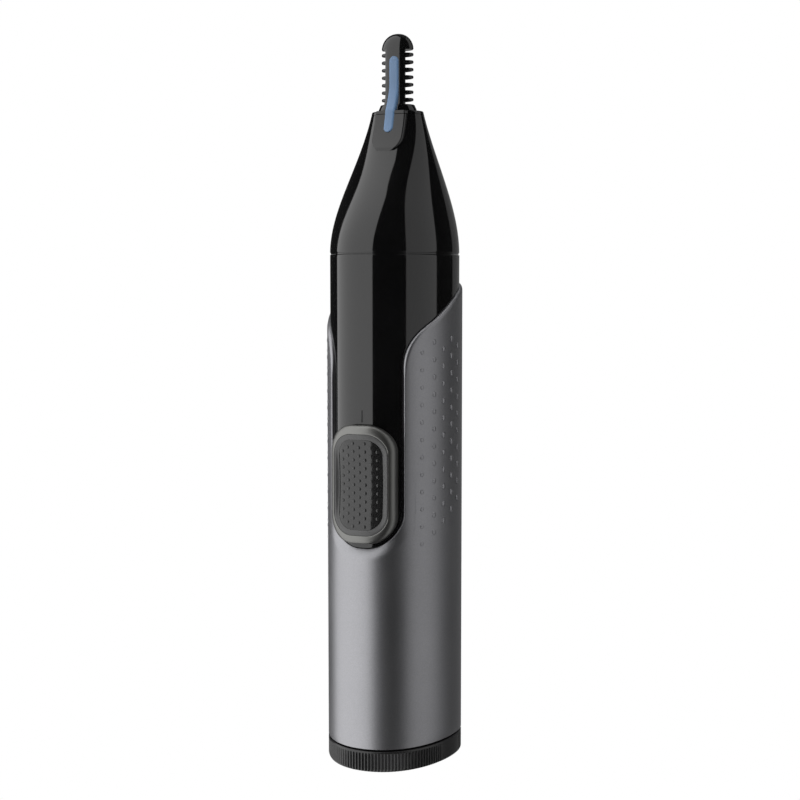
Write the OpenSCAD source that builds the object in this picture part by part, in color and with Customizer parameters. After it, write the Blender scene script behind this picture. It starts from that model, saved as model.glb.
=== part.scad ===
// Battery nose and ear hair trimmer: a pull-off cutter head on a slim body that holds one AA cell,
// a small motor and a slide switch. The origin is on the drive axis at the base plane, +Z is up
// and the switch side faces -Y.

/* [Body] */
// Half of the body's width
half_width = 12.5; // [11.5:0.1:13.5]
// Distance from the drive axis to the switch side
front_depth = 17.2; // [16.5:0.1:18.5]
// Distance from the drive axis to the back
back_depth = 9.5; // [9.3:0.1:10.5]
// Height of the ribbed battery cap
cap_height = 4; // [3.8:0.1:4.2]
// Height of the seam between the body and the head
seam_height = 96.7; // [96.4:0.1:97]
// Wall thickness of the grey sleeve
sleeve_wall = 1.2; // [1:0.1:1.3]
// How far the gloss black surfaces lie under the sleeve's surface
panel_inset = 0.6; // [0.4:0.1:0.7]

/* [Front window] */
// Half width of the window in the sleeve
window_half_width = 7.4; // [7.2:0.1:7.8]
// Lowest point of the window
window_bottom = 42.2; // [41:0.1:42.4]
// Height at which the window's straight sides end
window_shoulder = 75.6; // [74:0.1:76.4]
// Height of the sleeve's top edge at the back
sleeve_back_height = 92; // [91:0.1:92.4]

/* [Grip] */
// Radius of one grip bump
bump_radius = 0.8; // [0.6:0.05:0.9]
// How far a bump stands out of the sleeve
bump_height = 0.3; // [0.2:0.05:0.4]
// Distance between bumps in a column
bump_pitch = 3.24; // [3.1:0.01:3.4]

/* [Switch] */
// Width of the switch button
button_width = 12.9; // [12.7:0.1:13.2]
// Height of the switch button
button_height = 22; // [20:0.5:22.5]
// Lower end of the button when it is off
button_bottom = 43.2; // [42.9:0.1:43.4]
// How far the button's face stands out of the sleeve's surface
button_rise = 1.5; // [1.2:0.1:1.8]
// Travel of the switch
switch_travel = 3.5; // [3:0.1:3.5]

/* [Battery] */
// Diameter of an AA cell
cell_diameter = 14.5; // [14.5]
// Length of an AA cell with its button
cell_length = 50.5; // [50.5]
// Distance from the drive axis forward to the cell's axis
cell_offset = 2.6; // [2.4:0.1:2.7]
// Lower end of the cell
cell_bottom = 7.5; // [7.5]

/* [Motor] */
// Diameter of the motor's round sides
motor_diameter = 15.5; // [15.5]
// Distance across the motor's flats
motor_flats = 12; // [12]
// Lower face of the motor can
motor_bottom = 64; // [63.5:0.1:64.2]
// Length of the motor can
motor_length = 20; // [19:0.5:20.5]
// Radius of the motor's shaft
motor_shaft_radius = 1; // [0.9:0.05:1]

/* [Head] */
// Height of the head shell's lip
lip_height = 123.7; // [123:0.1:124]
// Half width of the head at its lip
lip_half_width = 5.1; // [4.9:0.1:5.4]
// Front and back depth of the head at its lip
lip_depth = 3.4; // [3.3:0.1:3.6]
// Wall thickness of the head shell
head_wall = 1.1; // [1:0.05:1.15]
// Radius of the spigot that the head pushes onto
spigot_radius = 6; // [5.8:0.1:6.1]
// Upper end of the spigot
spigot_top = 100.5; // [100:0.1:100.8]

/* [Cutter guard] */
// Overall height of the trimmer
total_height = 138.4; // [138:0.1:139]
// Half width of the guard across its teeth
guard_half_width = 3.2; // [3.1:0.05:3.3]
// Half depth of the guard from front to back
guard_half_depth = 1.8; // [1.75:0.05:1.85]
// Half width of the guard's front rib
guard_rib_half_width = 2; // [1.9:0.01:2.1]
// Half width of the guard's back rib
guard_back_rib_half_width = 0.7; // [0.6:0.05:0.9]
// Number of teeth on each side
tooth_count = 7; // [6:1:7]
// Distance between teeth
tooth_pitch = 1.41; // [1.35:0.01:1.45]
// Thickness of a tooth
tooth_thickness = 0.55; // [0.5:0.05:0.6]
// Height of the top tooth's middle
top_tooth_height = 134.4; // [134.2:0.1:134.4]
// Radius of the rotating inner cutter
cutter_radius = 1.2; // [1.1:0.05:1.25]
// Width of the coloured guide strip
strip_width = 1.9; // [1.6:0.1:2]

/* [Hidden] */
$fn = 64;

black = [0.05, 0.05, 0.055];
grey = [0.42, 0.42, 0.44];
button_grey = [0.32, 0.32, 0.33];
blue = [0.2, 0.42, 0.66];
brass = [0.8, 0.65, 0.3];
steel = [0.7, 0.71, 0.72];

tiny = 0.01;
seam_gap = 0.2;
fit_gap = 0.1;
running_gap = 0.05;
core_inset = sleeve_wall + fit_gap;
cavity_inset = 2.4;
cavity_floor = cap_height + 0.6;
cell_radius = cell_diameter / 2;
cell_top = cell_bottom + cell_length;
cell_button_height = 1;
cell_button_radius = 2.75;
cell_sleeve_wall = 0.15;
tube_bore = cell_radius + 0.35;
tube_wall = 1;
socket_radius = 8.8;
socket_depth = 5.4;
socket_lid = 0.6;
cap_spigot_radius = socket_radius - fit_gap;
cap_spigot_top = cavity_floor + socket_depth - socket_lid - fit_gap;
lug_reach = 9.2;
lug_bottom = 7.4;
lug_height = 1.4;
lug_half_angle = 8;
lug_play = 2;
cap_turn = 25;
deck_front = cell_offset + tube_bore + tube_wall + 0.7;
deck_half_width = 2.9;
deck_thickness = 0.65;
deck_low = 30;
groove_half_width = 1.9;
strip_thickness = 0.25;
strip_half_width = 1.8;
bridge_front = deck_front + 0.8;
bridge_bottom = 46;
bridge_top = 51;
negative_strip_top = 50.5;
terminal_strip_bottom = 52.5;
terminal_strip_half_width = 1.6;
slider_front = bridge_front + 0.9;
slider_half_width = 3;
slider_bottom = 45;
slider_top = 54.5;
stem_bottom = 47.5;
stem_top = 52.5;
stem_half_width = 1.8;
bulkhead_bottom = cell_top + 0.6;
bulkhead_thickness = 1.8;
motor_top = motor_bottom + motor_length;
motor_nose_radius = 3;
motor_nose_height = 1.4;
motor_bore = 2.2;
end_cap_thickness = 2;
screw_x = 4.2;
screw_depth = 11.9;
screw_radius = 0.7;
screw_hole = 0.75;
screw_head_radius = 1.1;
screw_head_height = 0.7;
screw_length = 8;
boss_radius = 1.3;
boss_height = 4.4;
cradle_inset = cavity_inset + 0.2;
cradle_low_top = 69;
cradle_high_bottom = 79;
cradle_high_top = 82.5;
cradle_web_half_width = 3;
cradle_web_near = motor_flats / 2 + 1;
cradle_web_thickness = 1.5;
terminal_x = 4.5;
terminal_thickness = 0.3;
terminal_width = 2.4;
tab_y = 2.4;
tab_thickness = 0.35;
tab_hole = 1.3;
coupling_radius = 2.4;
coupling_bottom = 86;
coupling_top = 102;
coupling_socket = 2.3;
shaft_top = 90;
shaft_bore = 3.6;
shaft_seal_bottom = 97;
shaft_seal_top = 99.5;
drive_bottom = 98.3;
drive_width = 2;
cutter_shaft_radius = 0.95;
neck_outer = 2.3;
neck_inner = 1.95;
core_floor = 102.5;
bush_bottom = 117;
collar_height = 1.2;
collar_bottom = lip_height + 0.1;
collar_top = collar_bottom + collar_height;
dome_bottom = 135.3;
cutter_bottom = collar_top + 0.3;
head_bottom = seam_height + 0.1;
far = 200;

// Control ratios of the body's section: front shoulder, front side, back side, back shoulder
body_ratios = [0.64, 0.494, 0.684, 0.68];
// The same ratios for an ellipse
round_ratios = [0.5523, 0.5523, 0.5523, 0.5523];

// Point on a cubic curve
function bezier(a, b, c, d, t) =
    a * pow(1 - t, 3) + 3 * b * t * pow(1 - t, 2) + 3 * c * t * t * (1 - t) + d * pow(t, 3);

// Points on the front and the back quarter of a section, t from 0 to 1
function front_quarter(w, f, k, t) = [bezier(0, k[0] * w, w, w, t), -bezier(f, f, k[1] * f, 0, t)];
function back_quarter(w, b, k, t) = [bezier(w, w, k[3] * w, 0, t), bezier(0, k[2] * b, b, b, t)];

function flip_x(p) = [-p[0], p[1]];

// Closed outline, symmetric in x, with w the half width, f the front and b the back depth
function section(w, f, b, k = body_ratios, n = 12) = concat(
    [for (i = [0 : n - 1]) front_quarter(w, f, k, i / n)],
    [for (i = [0 : n - 1]) back_quarter(w, b, k, i / n)],
    [for (i = [0 : n - 1]) flip_x(back_quarter(w, b, k, 1 - i / n))],
    [for (i = [0 : n - 1]) flip_x(front_quarter(w, f, k, 1 - i / n))]
);

function body_section(inset) = section(half_width - inset, front_depth - inset, back_depth - inset);

function at_height(points, z) = [for (p = points) [p[0], p[1], z]];

// Blend of the head's outline, 0 at the lip and 1 at the seam
function head_blend(z) =
    let (s = (lip_height - z) / (lip_height - seam_height))
    0.95 * (pow(s, 3) - 2 * s * s + s) + 3 * s * s - 2 * pow(s, 3);
function mix(a, b, t) = a + (b - a) * t;
function head_half_width(z) = mix(lip_half_width, half_width - panel_inset, head_blend(z));
function head_front(z) = mix(lip_depth, front_depth - panel_inset, pow(head_blend(z), front_power));
function head_back(z) = mix(lip_depth, back_depth - panel_inset, head_blend(z));
function head_ratios(z) = [for (i = [0 : 3]) mix(round_ratios[i], body_ratios[i], head_blend(z))];
front_power = 1.4;

function head_section(z, inset, n) = section(
    head_half_width(z) - inset, head_front(z) - inset, head_back(z) - inset, head_ratios(z), n);

// Solid between stacked outlines that all have the same number of points
module loft(rings) {
    n = len(rings[0]);
    last = len(rings) - 1;
    sides = [for (i = [0 : last - 1]) for (j = [0 : n - 1])
        let (a = i * n, b = a + n, k = (j + 1) % n)
        each [[a + j, b + j, b + k], [a + j, b + k, a + k]]];
    floor_face = [for (j = [0 : n - 1]) j];
    top_face = [for (j = [n - 1 : -1 : 0]) last * n + j];
    polyhedron([for (r = rings) each r], concat(sides, [floor_face, top_face]), 10);
}

// Closed loop of outlines, outer ones going up and inner ones coming down
module loft_tube(rings) {
    n = len(rings[0]);
    m = len(rings);
    polyhedron([for (r = rings) each r], [for (i = [0 : m - 1]) for (j = [0 : n - 1])
        let (a = i * n, b = ((i + 1) % m) * n, k = (j + 1) % n)
        each [[a + j, b + j, b + k], [a + j, b + k, a + k]]], 10);
}

// Round wire wound into a coil whose radius goes from r0 to r1
module coil(r0, r1, wire, turns, z0, z1) {
    steps = 14;
    sides = 6;
    count = ceil(turns * steps);
    loft([for (i = [0 : count])
        let (t = i / count, a = 360 * turns * t, r = mix(r0, r1, t), z = mix(z0 + wire, z1 - wire, t))
        [for (j = [0 : sides - 1])
            let (b = -360 * j / sides, q = r + wire * cos(b))
            [q * cos(a), q * sin(a), z + wire * sin(b)]]]);
}

module prism(points, z0, z1) {
    translate([0, 0, z0])
        linear_extrude(z1 - z0)
            polygon(points);
}

module ring(outer, inner, z0, z1) {
    translate([0, 0, z0])
        difference() {
            cylinder(r = outer, h = z1 - z0);
            translate([0, 0, -tiny])
                cylinder(r = inner, h = z1 - z0 + 2 * tiny);
        }
}

// Box given by its half width, its near and far distance in front of the drive axis and its heights
module front_box(half, near, far, z0, z1) {
    translate([-half, -far, z0])
        cube([2 * half, far - near, z1 - z0]);
}

module on_cell_axis() {
    translate([0, -cell_offset, 0])
        children();
}

// Side view of the sleeve's top edge as [y, z], from the window's shoulder to the back
edge_start = 14.07;
edge_bend = 9;
edge_bend_height = 83.8;
edge_front = [
    for (i = [0 : 9]) let (t = i / 10)
    [-bezier(edge_start, edge_start, 11.6, edge_bend, t),
        bezier(window_shoulder, 80.3, 82.4, edge_bend_height, t)]
];
edge_back = [
    for (i = [0 : 12]) let (t = i / 12)
    [-bezier(edge_bend, 4.5, -3, -back_depth - 0.5, t),
        bezier(edge_bend_height, 86.2, 91.4, sleeve_back_height, t)]
];
window_cut_start = 8;

window_corner = 6.7;
// The space where the gloss black housing shows: above the sleeve's edge and in its window
module window_zone(gap) {
    translate([0, -gap, gap])
        rotate([90, 0, 90])
            linear_extrude(4 * half_width, center = true)
                polygon(concat([[-2 * front_depth, window_shoulder]], edge_front, edge_back,
                    [[2 * back_depth, sleeve_back_height], [2 * back_depth, 2 * seam_height],
                    [-2 * front_depth, 2 * seam_height]]));
    translate([0, -window_cut_start, 0])
        rotate([90, 0, 0])
            linear_extrude(2 * front_depth) {
                for (side = [-1, 1])
                    translate([side * (window_half_width - window_corner), window_bottom + window_corner])
                        circle(r = window_corner - gap);
                translate([window_corner - window_half_width, window_bottom + gap])
                    square([2 * (window_half_width - window_corner), window_corner]);
                translate([gap - window_half_width, window_bottom + window_corner])
                    square([2 * (window_half_width - gap), window_shoulder - window_bottom]);
            }
}

// ---------------------------------------------------------------- casing

module outer_shell() {
    color(grey)
        difference() {
            prism(body_section(0), cap_height + 0.3, sleeve_back_height + 0.5);
            prism(body_section(sleeve_wall), 0, seam_height);
            window_zone(0);
        }
}

bump_columns = [0.534, 0.663, 0.778, 0.888, 0.993];
bump_rows = [12, 12, 11, 11, 10];
bump_step = 1.85;
bump_start = 42.8;
module grip_bumps() {
    sink = bump_radius - bump_height;
    color(grey)
        for (side = [-1, 1], c = [0 : len(bump_columns) - 1], i = [0 : bump_rows[c] - 1]) {
            p = front_quarter(half_width - sink, front_depth - sink, body_ratios, bump_columns[c]);
            translate([side * p[0], p[1], bump_start + c * bump_step + i * bump_pitch])
                sphere(r = bump_radius, $fn = 24);
        }
}

tick_bottom = 65.6;
tick_top = 67.9;
tick_half_width = 0.35;
tick_depth = 0.3;
slot_half_width = stem_half_width + 0.3;
module inner_housing() {
    color(black)
        difference() {
            union() {
                prism(body_section(core_inset), cavity_floor, sleeve_back_height);
                intersection() {
                    prism(body_section(panel_inset), window_bottom, seam_height - seam_gap);
                    window_zone(seam_gap);
                }
            }
            prism(body_section(cavity_inset), 0, 2 * seam_height);
            front_box(slot_half_width, 0, 2 * front_depth, stem_bottom - 0.3, stem_top + switch_travel + 0.3);
            front_box(tick_half_width, front_depth - panel_inset - tick_depth, 2 * front_depth,
                tick_bottom, tick_top);
        }
}

deck_bottom = 92.5;
deck_top = seam_height + 0.5;
seal_groove = 98;
seal_depth = 0.6;
seal_half_height = 0.5;
module top_bulkhead() {
    color(black)
        difference() {
            union() {
                prism(body_section(cavity_inset + fit_gap), deck_bottom, deck_top);
                translate([0, 0, deck_bottom])
                    cylinder(r = spigot_radius, h = spigot_top - deck_bottom);
            }
            cylinder(r = shaft_bore, h = far);
            ring(spigot_radius + 1, spigot_radius - seal_depth,
                seal_groove - seal_half_height - fit_gap, seal_groove + seal_half_height + fit_gap);
        }
}

module head_seal() {
    color("dimgray")
        ring(spigot_radius, spigot_radius - seal_depth + running_gap,
            seal_groove - seal_half_height, seal_groove + seal_half_height);
}

module shaft_seal() {
    color("dimgray")
        ring(shaft_bore - running_gap, coupling_radius + running_gap, shaft_seal_bottom, shaft_seal_top);
}

// ---------------------------------------------------------------- chassis and drive

module chassis() {
    color("gainsboro")
        difference() {
            union() {
                prism(body_section(cradle_inset), bulkhead_bottom, bulkhead_bottom + bulkhead_thickness);
                front_box(deck_half_width, deck_front - deck_thickness, deck_front, deck_low,
                    bulkhead_bottom + tiny);
            }
            front_box(groove_half_width, deck_front - 0.2, deck_front + 0.6, bulkhead_bottom - 1, far);
            for (side = [-1, 1])
                translate([side * screw_x, -screw_depth, 0])
                    cylinder(r = screw_hole, h = far);
            translate([0, tab_y, 0])
                cylinder(r = tab_hole, h = far);
        }
}

module battery_tube() {
    color("gainsboro")
        difference() {
            union() {
                prism(body_section(cavity_inset + fit_gap), cavity_floor, cavity_floor + socket_depth);
                on_cell_axis()
                    translate([0, 0, cavity_floor])
                        cylinder(r = tube_bore + tube_wall, h = cell_top - 1 - cavity_floor);
            }
            on_cell_axis() {
                cylinder(r = tube_bore, h = far);
                cylinder(r = socket_radius, h = cavity_floor + socket_depth - socket_lid);
                for (side = [0, 180])
                    rotate([0, 0, side - lug_half_angle - lug_play])
                        rotate_extrude(angle = cap_turn + 2 * lug_half_angle + 2 * lug_play)
                            translate([socket_radius - 0.5, 0])
                                square([lug_reach + 0.65 - socket_radius, lug_bottom + lug_height + 0.4]);
            }
            front_box(strip_half_width + 0.3, deck_front - 0.1, deck_front + 0.5, 0, deck_low);
        }
}

module motor_outline(extra) {
    intersection() {
        circle(r = motor_diameter / 2 + extra);
        square([motor_diameter * 2, motor_flats + 2 * extra], center = true);
    }
}

boss_bottom = bulkhead_bottom + bulkhead_thickness;
module motor_cradle() {
    color("gainsboro")
        difference() {
            union() {
                prism(body_section(cradle_inset), boss_bottom + boss_height, cradle_low_top);
                for (side = [-1, 1])
                    translate([side * screw_x, -screw_depth, boss_bottom + tiny])
                        cylinder(r = boss_radius, h = boss_height);
                prism(body_section(cradle_inset), cradle_high_bottom, cradle_high_top);
                front_box(cradle_web_half_width, cradle_web_near, cradle_web_near + cradle_web_thickness,
                    cradle_low_top - 0.1, cradle_high_bottom + 0.1);
            }
            linear_extrude(far)
                motor_outline(fit_gap);
            for (side = [-1, 1])
                translate([side * screw_x, -screw_depth, bulkhead_bottom])
                    cylinder(r = screw_hole, h = screw_length + 0.5);
        }
}

module motor_can() {
    color(steel)
        difference() {
            union() {
                translate([0, 0, motor_bottom])
                    linear_extrude(motor_length)
                        motor_outline(0);
                translate([0, 0, motor_top - tiny])
                    cylinder(r = motor_nose_radius, h = motor_nose_height);
            }
            cylinder(r = motor_bore, h = far);
        }
}

module motor_bearing() {
    color(brass)
        ring(motor_bore - running_gap, motor_shaft_radius + running_gap,
            motor_top - motor_nose_height, motor_top + motor_nose_height - fit_gap);
}

module motor_end_cap() {
    color("whitesmoke")
        difference() {
            translate([0, 0, motor_bottom - end_cap_thickness])
                linear_extrude(end_cap_thickness - tiny)
                    motor_outline(-0.3);
            cylinder(r = motor_shaft_radius + running_gap, h = far);
            for (side = [-1, 1])
                translate([side * terminal_x, 0, motor_bottom])
                    cube([terminal_thickness + 0.5, terminal_width + 0.2, 3 * end_cap_thickness],
                        center = true);
        }
}

module motor_terminals() {
    color(brass)
        for (side = [-1, 1])
            translate([side * terminal_x - terminal_thickness / 2, -terminal_width / 2, motor_bottom - 3.2])
                cube([terminal_thickness, terminal_width, 2.9]);
}

module chassis_screws() {
    color(steel)
        for (side = [-1, 1])
            translate([side * screw_x, -screw_depth, 0]) {
                translate([0, 0, bulkhead_bottom - screw_head_height])
                    cylinder(r = screw_head_radius, h = screw_head_height - tiny);
                translate([0, 0, bulkhead_bottom - 0.1])
                    cylinder(r = screw_radius, h = screw_length);
            }
}

module positive_contact() {
    color(brass) {
        on_cell_axis()
            ring(4.5, 0.6, cell_top + running_gap, cell_top + running_gap + tab_thickness);
        translate([-1, tab_y - tab_thickness / 2, cell_top + running_gap])
            cube([2, tab_thickness, 3.4]);
        translate([-1, 1, cell_top + running_gap])
            cube([2, tab_y - 1, tab_thickness]);
    }
}

module negative_strip() {
    color(brass)
        front_box(strip_half_width, deck_front + tiny, deck_front + strip_thickness,
            cavity_floor + 0.4, negative_strip_top);
}

module switch_terminal() {
    color(brass)
        front_box(terminal_strip_half_width, deck_front + tiny, deck_front + strip_thickness,
            terminal_strip_bottom, motor_bottom - 2.2);
}

// Straight rod from one point to another
module rod(a, b, r) {
    d = b - a;
    translate(a)
        rotate([0, acos(d[2] / norm(d)), atan2(d[1], d[0])])
            cylinder(r = r, h = norm(d));
}

lead_radius = 0.4;
lead_height = 61.2;
module lead_wires() {
    color("firebrick") {
        rod([-0.6, tab_y - tab_thickness / 2 - lead_radius, lead_height],
            [0.4 - terminal_x, 0.6, lead_height], lead_radius);
        rod([1.2, 0.6 - deck_front, lead_height], [terminal_x - 0.4, -1.6, lead_height], lead_radius);
    }
}

// ---------------------------------------------------------------- rotor

module motor_shaft() {
    color(steel)
        translate([0, 0, motor_bottom - 1.6])
            cylinder(r = motor_shaft_radius, h = shaft_top - motor_bottom + 1.6);
}

module drive_coupling() {
    color("white")
        difference() {
            translate([0, 0, coupling_bottom])
                cylinder(r = coupling_radius, h = coupling_top - coupling_bottom);
            translate([0, 0, coupling_bottom - 1])
                cylinder(r = motor_shaft_radius, h = shaft_top + 1 - coupling_bottom);
            translate([-coupling_socket / 2, -coupling_socket / 2, drive_bottom - 0.3])
                cube([coupling_socket, coupling_socket, far]);
        }
}

// ---------------------------------------------------------------- switch

// Front view of the button, narrower by an inset on every side
button_corner = 5;
module button_outline(inset) {
    half = button_width / 2 - inset;
    low = button_bottom + inset;
    high = button_bottom + button_height - inset;
    r = button_corner - inset;
    for (side = [-1, 1], z = [low + r, high - r])
        translate([side * (half - r), z])
            circle(r = r);
    translate([r - half, low])
        square([2 * (half - r), high - low]);
    translate([-half, low + r])
        square([2 * half, high - low - 2 * r]);
}

module stand_up() {
    rotate([90, 0, 0])
        linear_extrude(2 * front_depth)
            children();
}

pad_inset = 1.95;
pad_depth = 0.5;
pad_drop = 0.1;
button_lift = 0.35;
stem_play = 0.2;
stem_front = front_depth - (panel_inset - button_lift) - stem_play;
module switch_button() {
    color([0.55, 0.55, 0.57])
        difference() {
            intersection() {
                prism(body_section(-button_rise), button_bottom - 1, button_bottom + button_height + 1);
                stand_up()
                    button_outline(0);
            }
            prism(body_section(panel_inset - button_lift), 0, seam_height);
            difference() {
                stand_up()
                    button_outline(pad_inset);
                prism(body_section(pad_depth - button_rise), 0, seam_height);
            }
        }
}

module switch_pad() {
    color(button_grey)
        intersection() {
            difference() {
                prism(body_section(pad_drop - button_rise), button_bottom, button_bottom + button_height);
                prism(body_section(pad_depth - tiny - button_rise), 0, seam_height);
            }
            stand_up()
                button_outline(pad_inset + fit_gap);
        }
}

module switch_slider() {
    color("white") {
        front_box(slider_half_width, bridge_front, slider_front, slider_bottom, slider_top);
        front_box(stem_half_width, slider_front - tiny, stem_front, stem_bottom, stem_top);
    }
}

module switch_bridge() {
    color(brass)
        front_box(strip_half_width, bridge_front - strip_thickness, bridge_front - tiny,
            bridge_bottom, bridge_top);
}

// ---------------------------------------------------------------- battery

module battery_can() {
    color(steel)
        on_cell_axis()
            translate([0, 0, cell_bottom])
                cylinder(r = cell_radius - cell_sleeve_wall, h = cell_length - cell_button_height);
}

module battery_button() {
    color(steel)
        on_cell_axis()
            translate([0, 0, cell_top - cell_button_height + tiny])
                cylinder(r = cell_button_radius, h = cell_button_height - tiny);
}

module battery_sleeve() {
    color("darkgreen")
        on_cell_axis()
            ring(cell_radius, cell_radius - cell_sleeve_wall + tiny, cell_bottom + 0.3, cell_top - 1.3);
}

cap_floor = 1.6;
cap_well = 7.7;
plate_radius = 7.4;
plate_thickness = 0.3;
module negative_contact_plate() {
    color(brass)
        on_cell_axis()
            translate([0, 0, cap_floor + fit_gap])
                cylinder(r = plate_radius, h = plate_thickness);
}

module negative_spring() {
    color(steel)
        on_cell_axis()
            coil(5.6, 2.6, 0.3, 4, cap_floor + fit_gap + plate_thickness + tiny, cell_bottom - running_gap);
}

cap_groove_bottom = 4.8;
cap_groove_top = 5.8;
cap_groove_depth = 0.55;
module cap_seal() {
    color("dimgray")
        on_cell_axis()
            ring(socket_radius - 2 * tiny, cap_spigot_radius - cap_groove_depth + running_gap,
                cap_groove_bottom + fit_gap, cap_groove_top - fit_gap);
}

// Outline of the cap with fine upright ribs on its front and back, smooth on its sides
rib_count = 32;
rib_depth = 0.18;
rib_zone = 0.76;
function ribbed_quarter(front) = [
    for (i = [0 : 2 * rib_count - 1])
    let (t = i / (2 * rib_count), ribbed = (front ? t : 1 - t) < rib_zone)
    let (d = ribbed && i % 2 == 1 ? rib_depth : 0)
    front ? front_quarter(half_width - d, front_depth - d, body_ratios, t)
        : back_quarter(half_width - d, back_depth - d, body_ratios, t)
];
function reversed(list) = [for (i = [len(list) - 1 : -1 : 0]) list[i]];
right_ribs = concat(ribbed_quarter(true), ribbed_quarter(false), [[0, back_depth]]);
cap_outline = concat(right_ribs, [for (i = [len(right_ribs) - 2 : -1 : 1]) flip_x(right_ribs[i])]);

base_inset = 0.5;
base_step = 0.5;
module battery_cap() {
    color(black)
        difference() {
            union() {
                prism(body_section(base_inset), 0, base_step + 0.1);
                prism(cap_outline, base_step, cap_height);
                on_cell_axis() {
                    cylinder(r = cap_spigot_radius, h = cap_spigot_top);
                    for (side = [0, 180])
                        rotate([0, 0, side - lug_half_angle])
                            rotate_extrude(angle = 2 * lug_half_angle)
                                translate([cap_spigot_radius - 0.5, lug_bottom])
                                    square([lug_reach - cap_spigot_radius + 0.5, lug_height]);
                }
            }
            on_cell_axis() {
                translate([0, 0, cap_floor])
                    cylinder(r = cap_well, h = cap_spigot_top);
                ring(cap_spigot_radius + 0.3, cap_spigot_radius - cap_groove_depth,
                    cap_groove_bottom, cap_groove_top);
            }
        }
}

// ---------------------------------------------------------------- head

shell_rings = 12;
inner_rings = 8;
shell_points = 10;
shell_rim = 0.35;
lip_ring_height = 0.7;
module head_shell() {
    top = lip_height - lip_ring_height;
    color(black)
        loft_tube(concat(
            [at_height(head_section(head_bottom, shell_rim, shell_points), head_bottom)],
            [for (i = [0 : shell_rings])
                let (z = mix(head_bottom + shell_rim, top, i / shell_rings))
                at_height(head_section(z, 0, shell_points), z)],
            [for (i = [inner_rings : -1 : 0])
                let (z = mix(head_bottom, top, i / inner_rings))
                at_height(head_section(z, head_wall, shell_points), z)]));
}

module head_ring() {
    color(black)
        difference() {
            union() {
                prism(section(lip_half_width, lip_depth, lip_depth, round_ratios),
                    lip_height - lip_ring_height + tiny, lip_height);
                prism([for (p = tongue_outline(lip_height, head_wall)) [p[0], p[1]]],
                    lip_height - lip_ring_height + tiny, lip_height);
            }
            cylinder(r = neck_outer + running_gap, h = far);
        }
}

tongue_bottom = 115.7;
tongue_rise = 0.35;
tongue_seat = 0.05;
tongue_half_width = 3.2;
tongue_corner = 3;
tongue_flatness = 0.6;

// Half width of the tongue, rounded at its lower end
function tongue_width(z) =
    let (h = min(z - tongue_bottom, tongue_corner), c = tongue_corner - h)
    tongue_half_width - tongue_corner + sqrt(tongue_corner * tongue_corner - c * c);

// Parameter of the front quarter whose x is a given width, found by halving
function quarter_at(x, w, k, low = 0, high = 1, steps = 14) =
    let (t = (low + high) / 2)
    steps == 0 ? t
        : bezier(0, k[0] * w, w, w, t) < x ? quarter_at(x, w, k, t, high, steps - 1)
        : quarter_at(x, w, k, low, t, steps - 1);

tongue_top = lip_height - lip_ring_height - 0.05;
tongue_columns = 10;
tongue_rows = 10;
function tongue_line(z, inset) =
    let (w = head_half_width(z) - inset, f = head_front(z) - inset, k = head_ratios(z))
    let (limit = quarter_at(tongue_width(z), w, k))
    [for (j = [0 : tongue_columns])
        let (s = 2 * j / tongue_columns - 1, p = front_quarter(w, f, k, limit * abs(s)))
        [sign(s) * p[0], p[1], z]];

// Outline of the tongue at a height: to the right along its flattened face, then back under it
function tongue_outline(z, seat) =
    let (front = -head_front(z) - tongue_rise)
    concat([for (p = tongue_line(z, -tongue_rise)) [p[0], mix(p[1], front, tongue_flatness), z]],
        reversed(tongue_line(z, seat)));

module head_tongue() {
    color(black)
        loft([for (i = [0 : tongue_rows])
            let (t = i / tongue_rows, z = mix(tongue_bottom + 0.15, tongue_top, t * t * (2 - t)))
            tongue_outline(z, -tongue_seat)]);
}

core_bottom = head_bottom + 0.5;
flange_top = head_bottom + 2.4;
socket_wall = 0.64;
socket_play = 0.06;
module head_core() {
    color("gainsboro")
        difference() {
            union() {
                prism(head_section(flange_top, head_wall + fit_gap + running_gap, 12), core_bottom, flange_top);
                translate([0, 0, core_bottom])
                    cylinder(r = spigot_radius + socket_play + socket_wall,
                        h = core_floor + 1.2 - core_bottom);
                translate([0, 0, core_floor])
                    cylinder(r = neck_outer, h = lip_height - 1 - core_floor);
            }
            cylinder(r = spigot_radius + socket_play, h = core_floor);
            cylinder(r = neck_inner, h = far);
        }
}

module cutter_bush() {
    color(brass)
        ring(neck_inner - tiny, cutter_shaft_radius + running_gap, bush_bottom, lip_height - 0.2);
}

function ellipse(a, b, n) = [for (i = [0 : n - 1]) [a * cos(360 * i / n), b * sin(360 * i / n)]];

guard_wall = 0.5;
guard_points = 40;
collar_foot = [3.8, 2.7];
collar_crown = [3.35, 2.4];
guard_bore = cutter_shaft_radius + 0.25;
dome_rings = 8;
dome_last_angle = 88;

// Removes the guard's wall between its front and its back rib, on one side, between two heights
module guard_slot(side, z0, z1) {
    translate([side * (guard_rib_half_width + guard_half_width), 0, (z0 + z1) / 2])
        cube([2 * guard_half_width, 4 * guard_half_depth, z1 - z0], center = true);
    translate([side * (guard_back_rib_half_width + guard_half_width), guard_half_depth, (z0 + z1) / 2])
        cube([2 * guard_half_width, 2 * guard_half_depth, z1 - z0], center = true);
}

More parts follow.
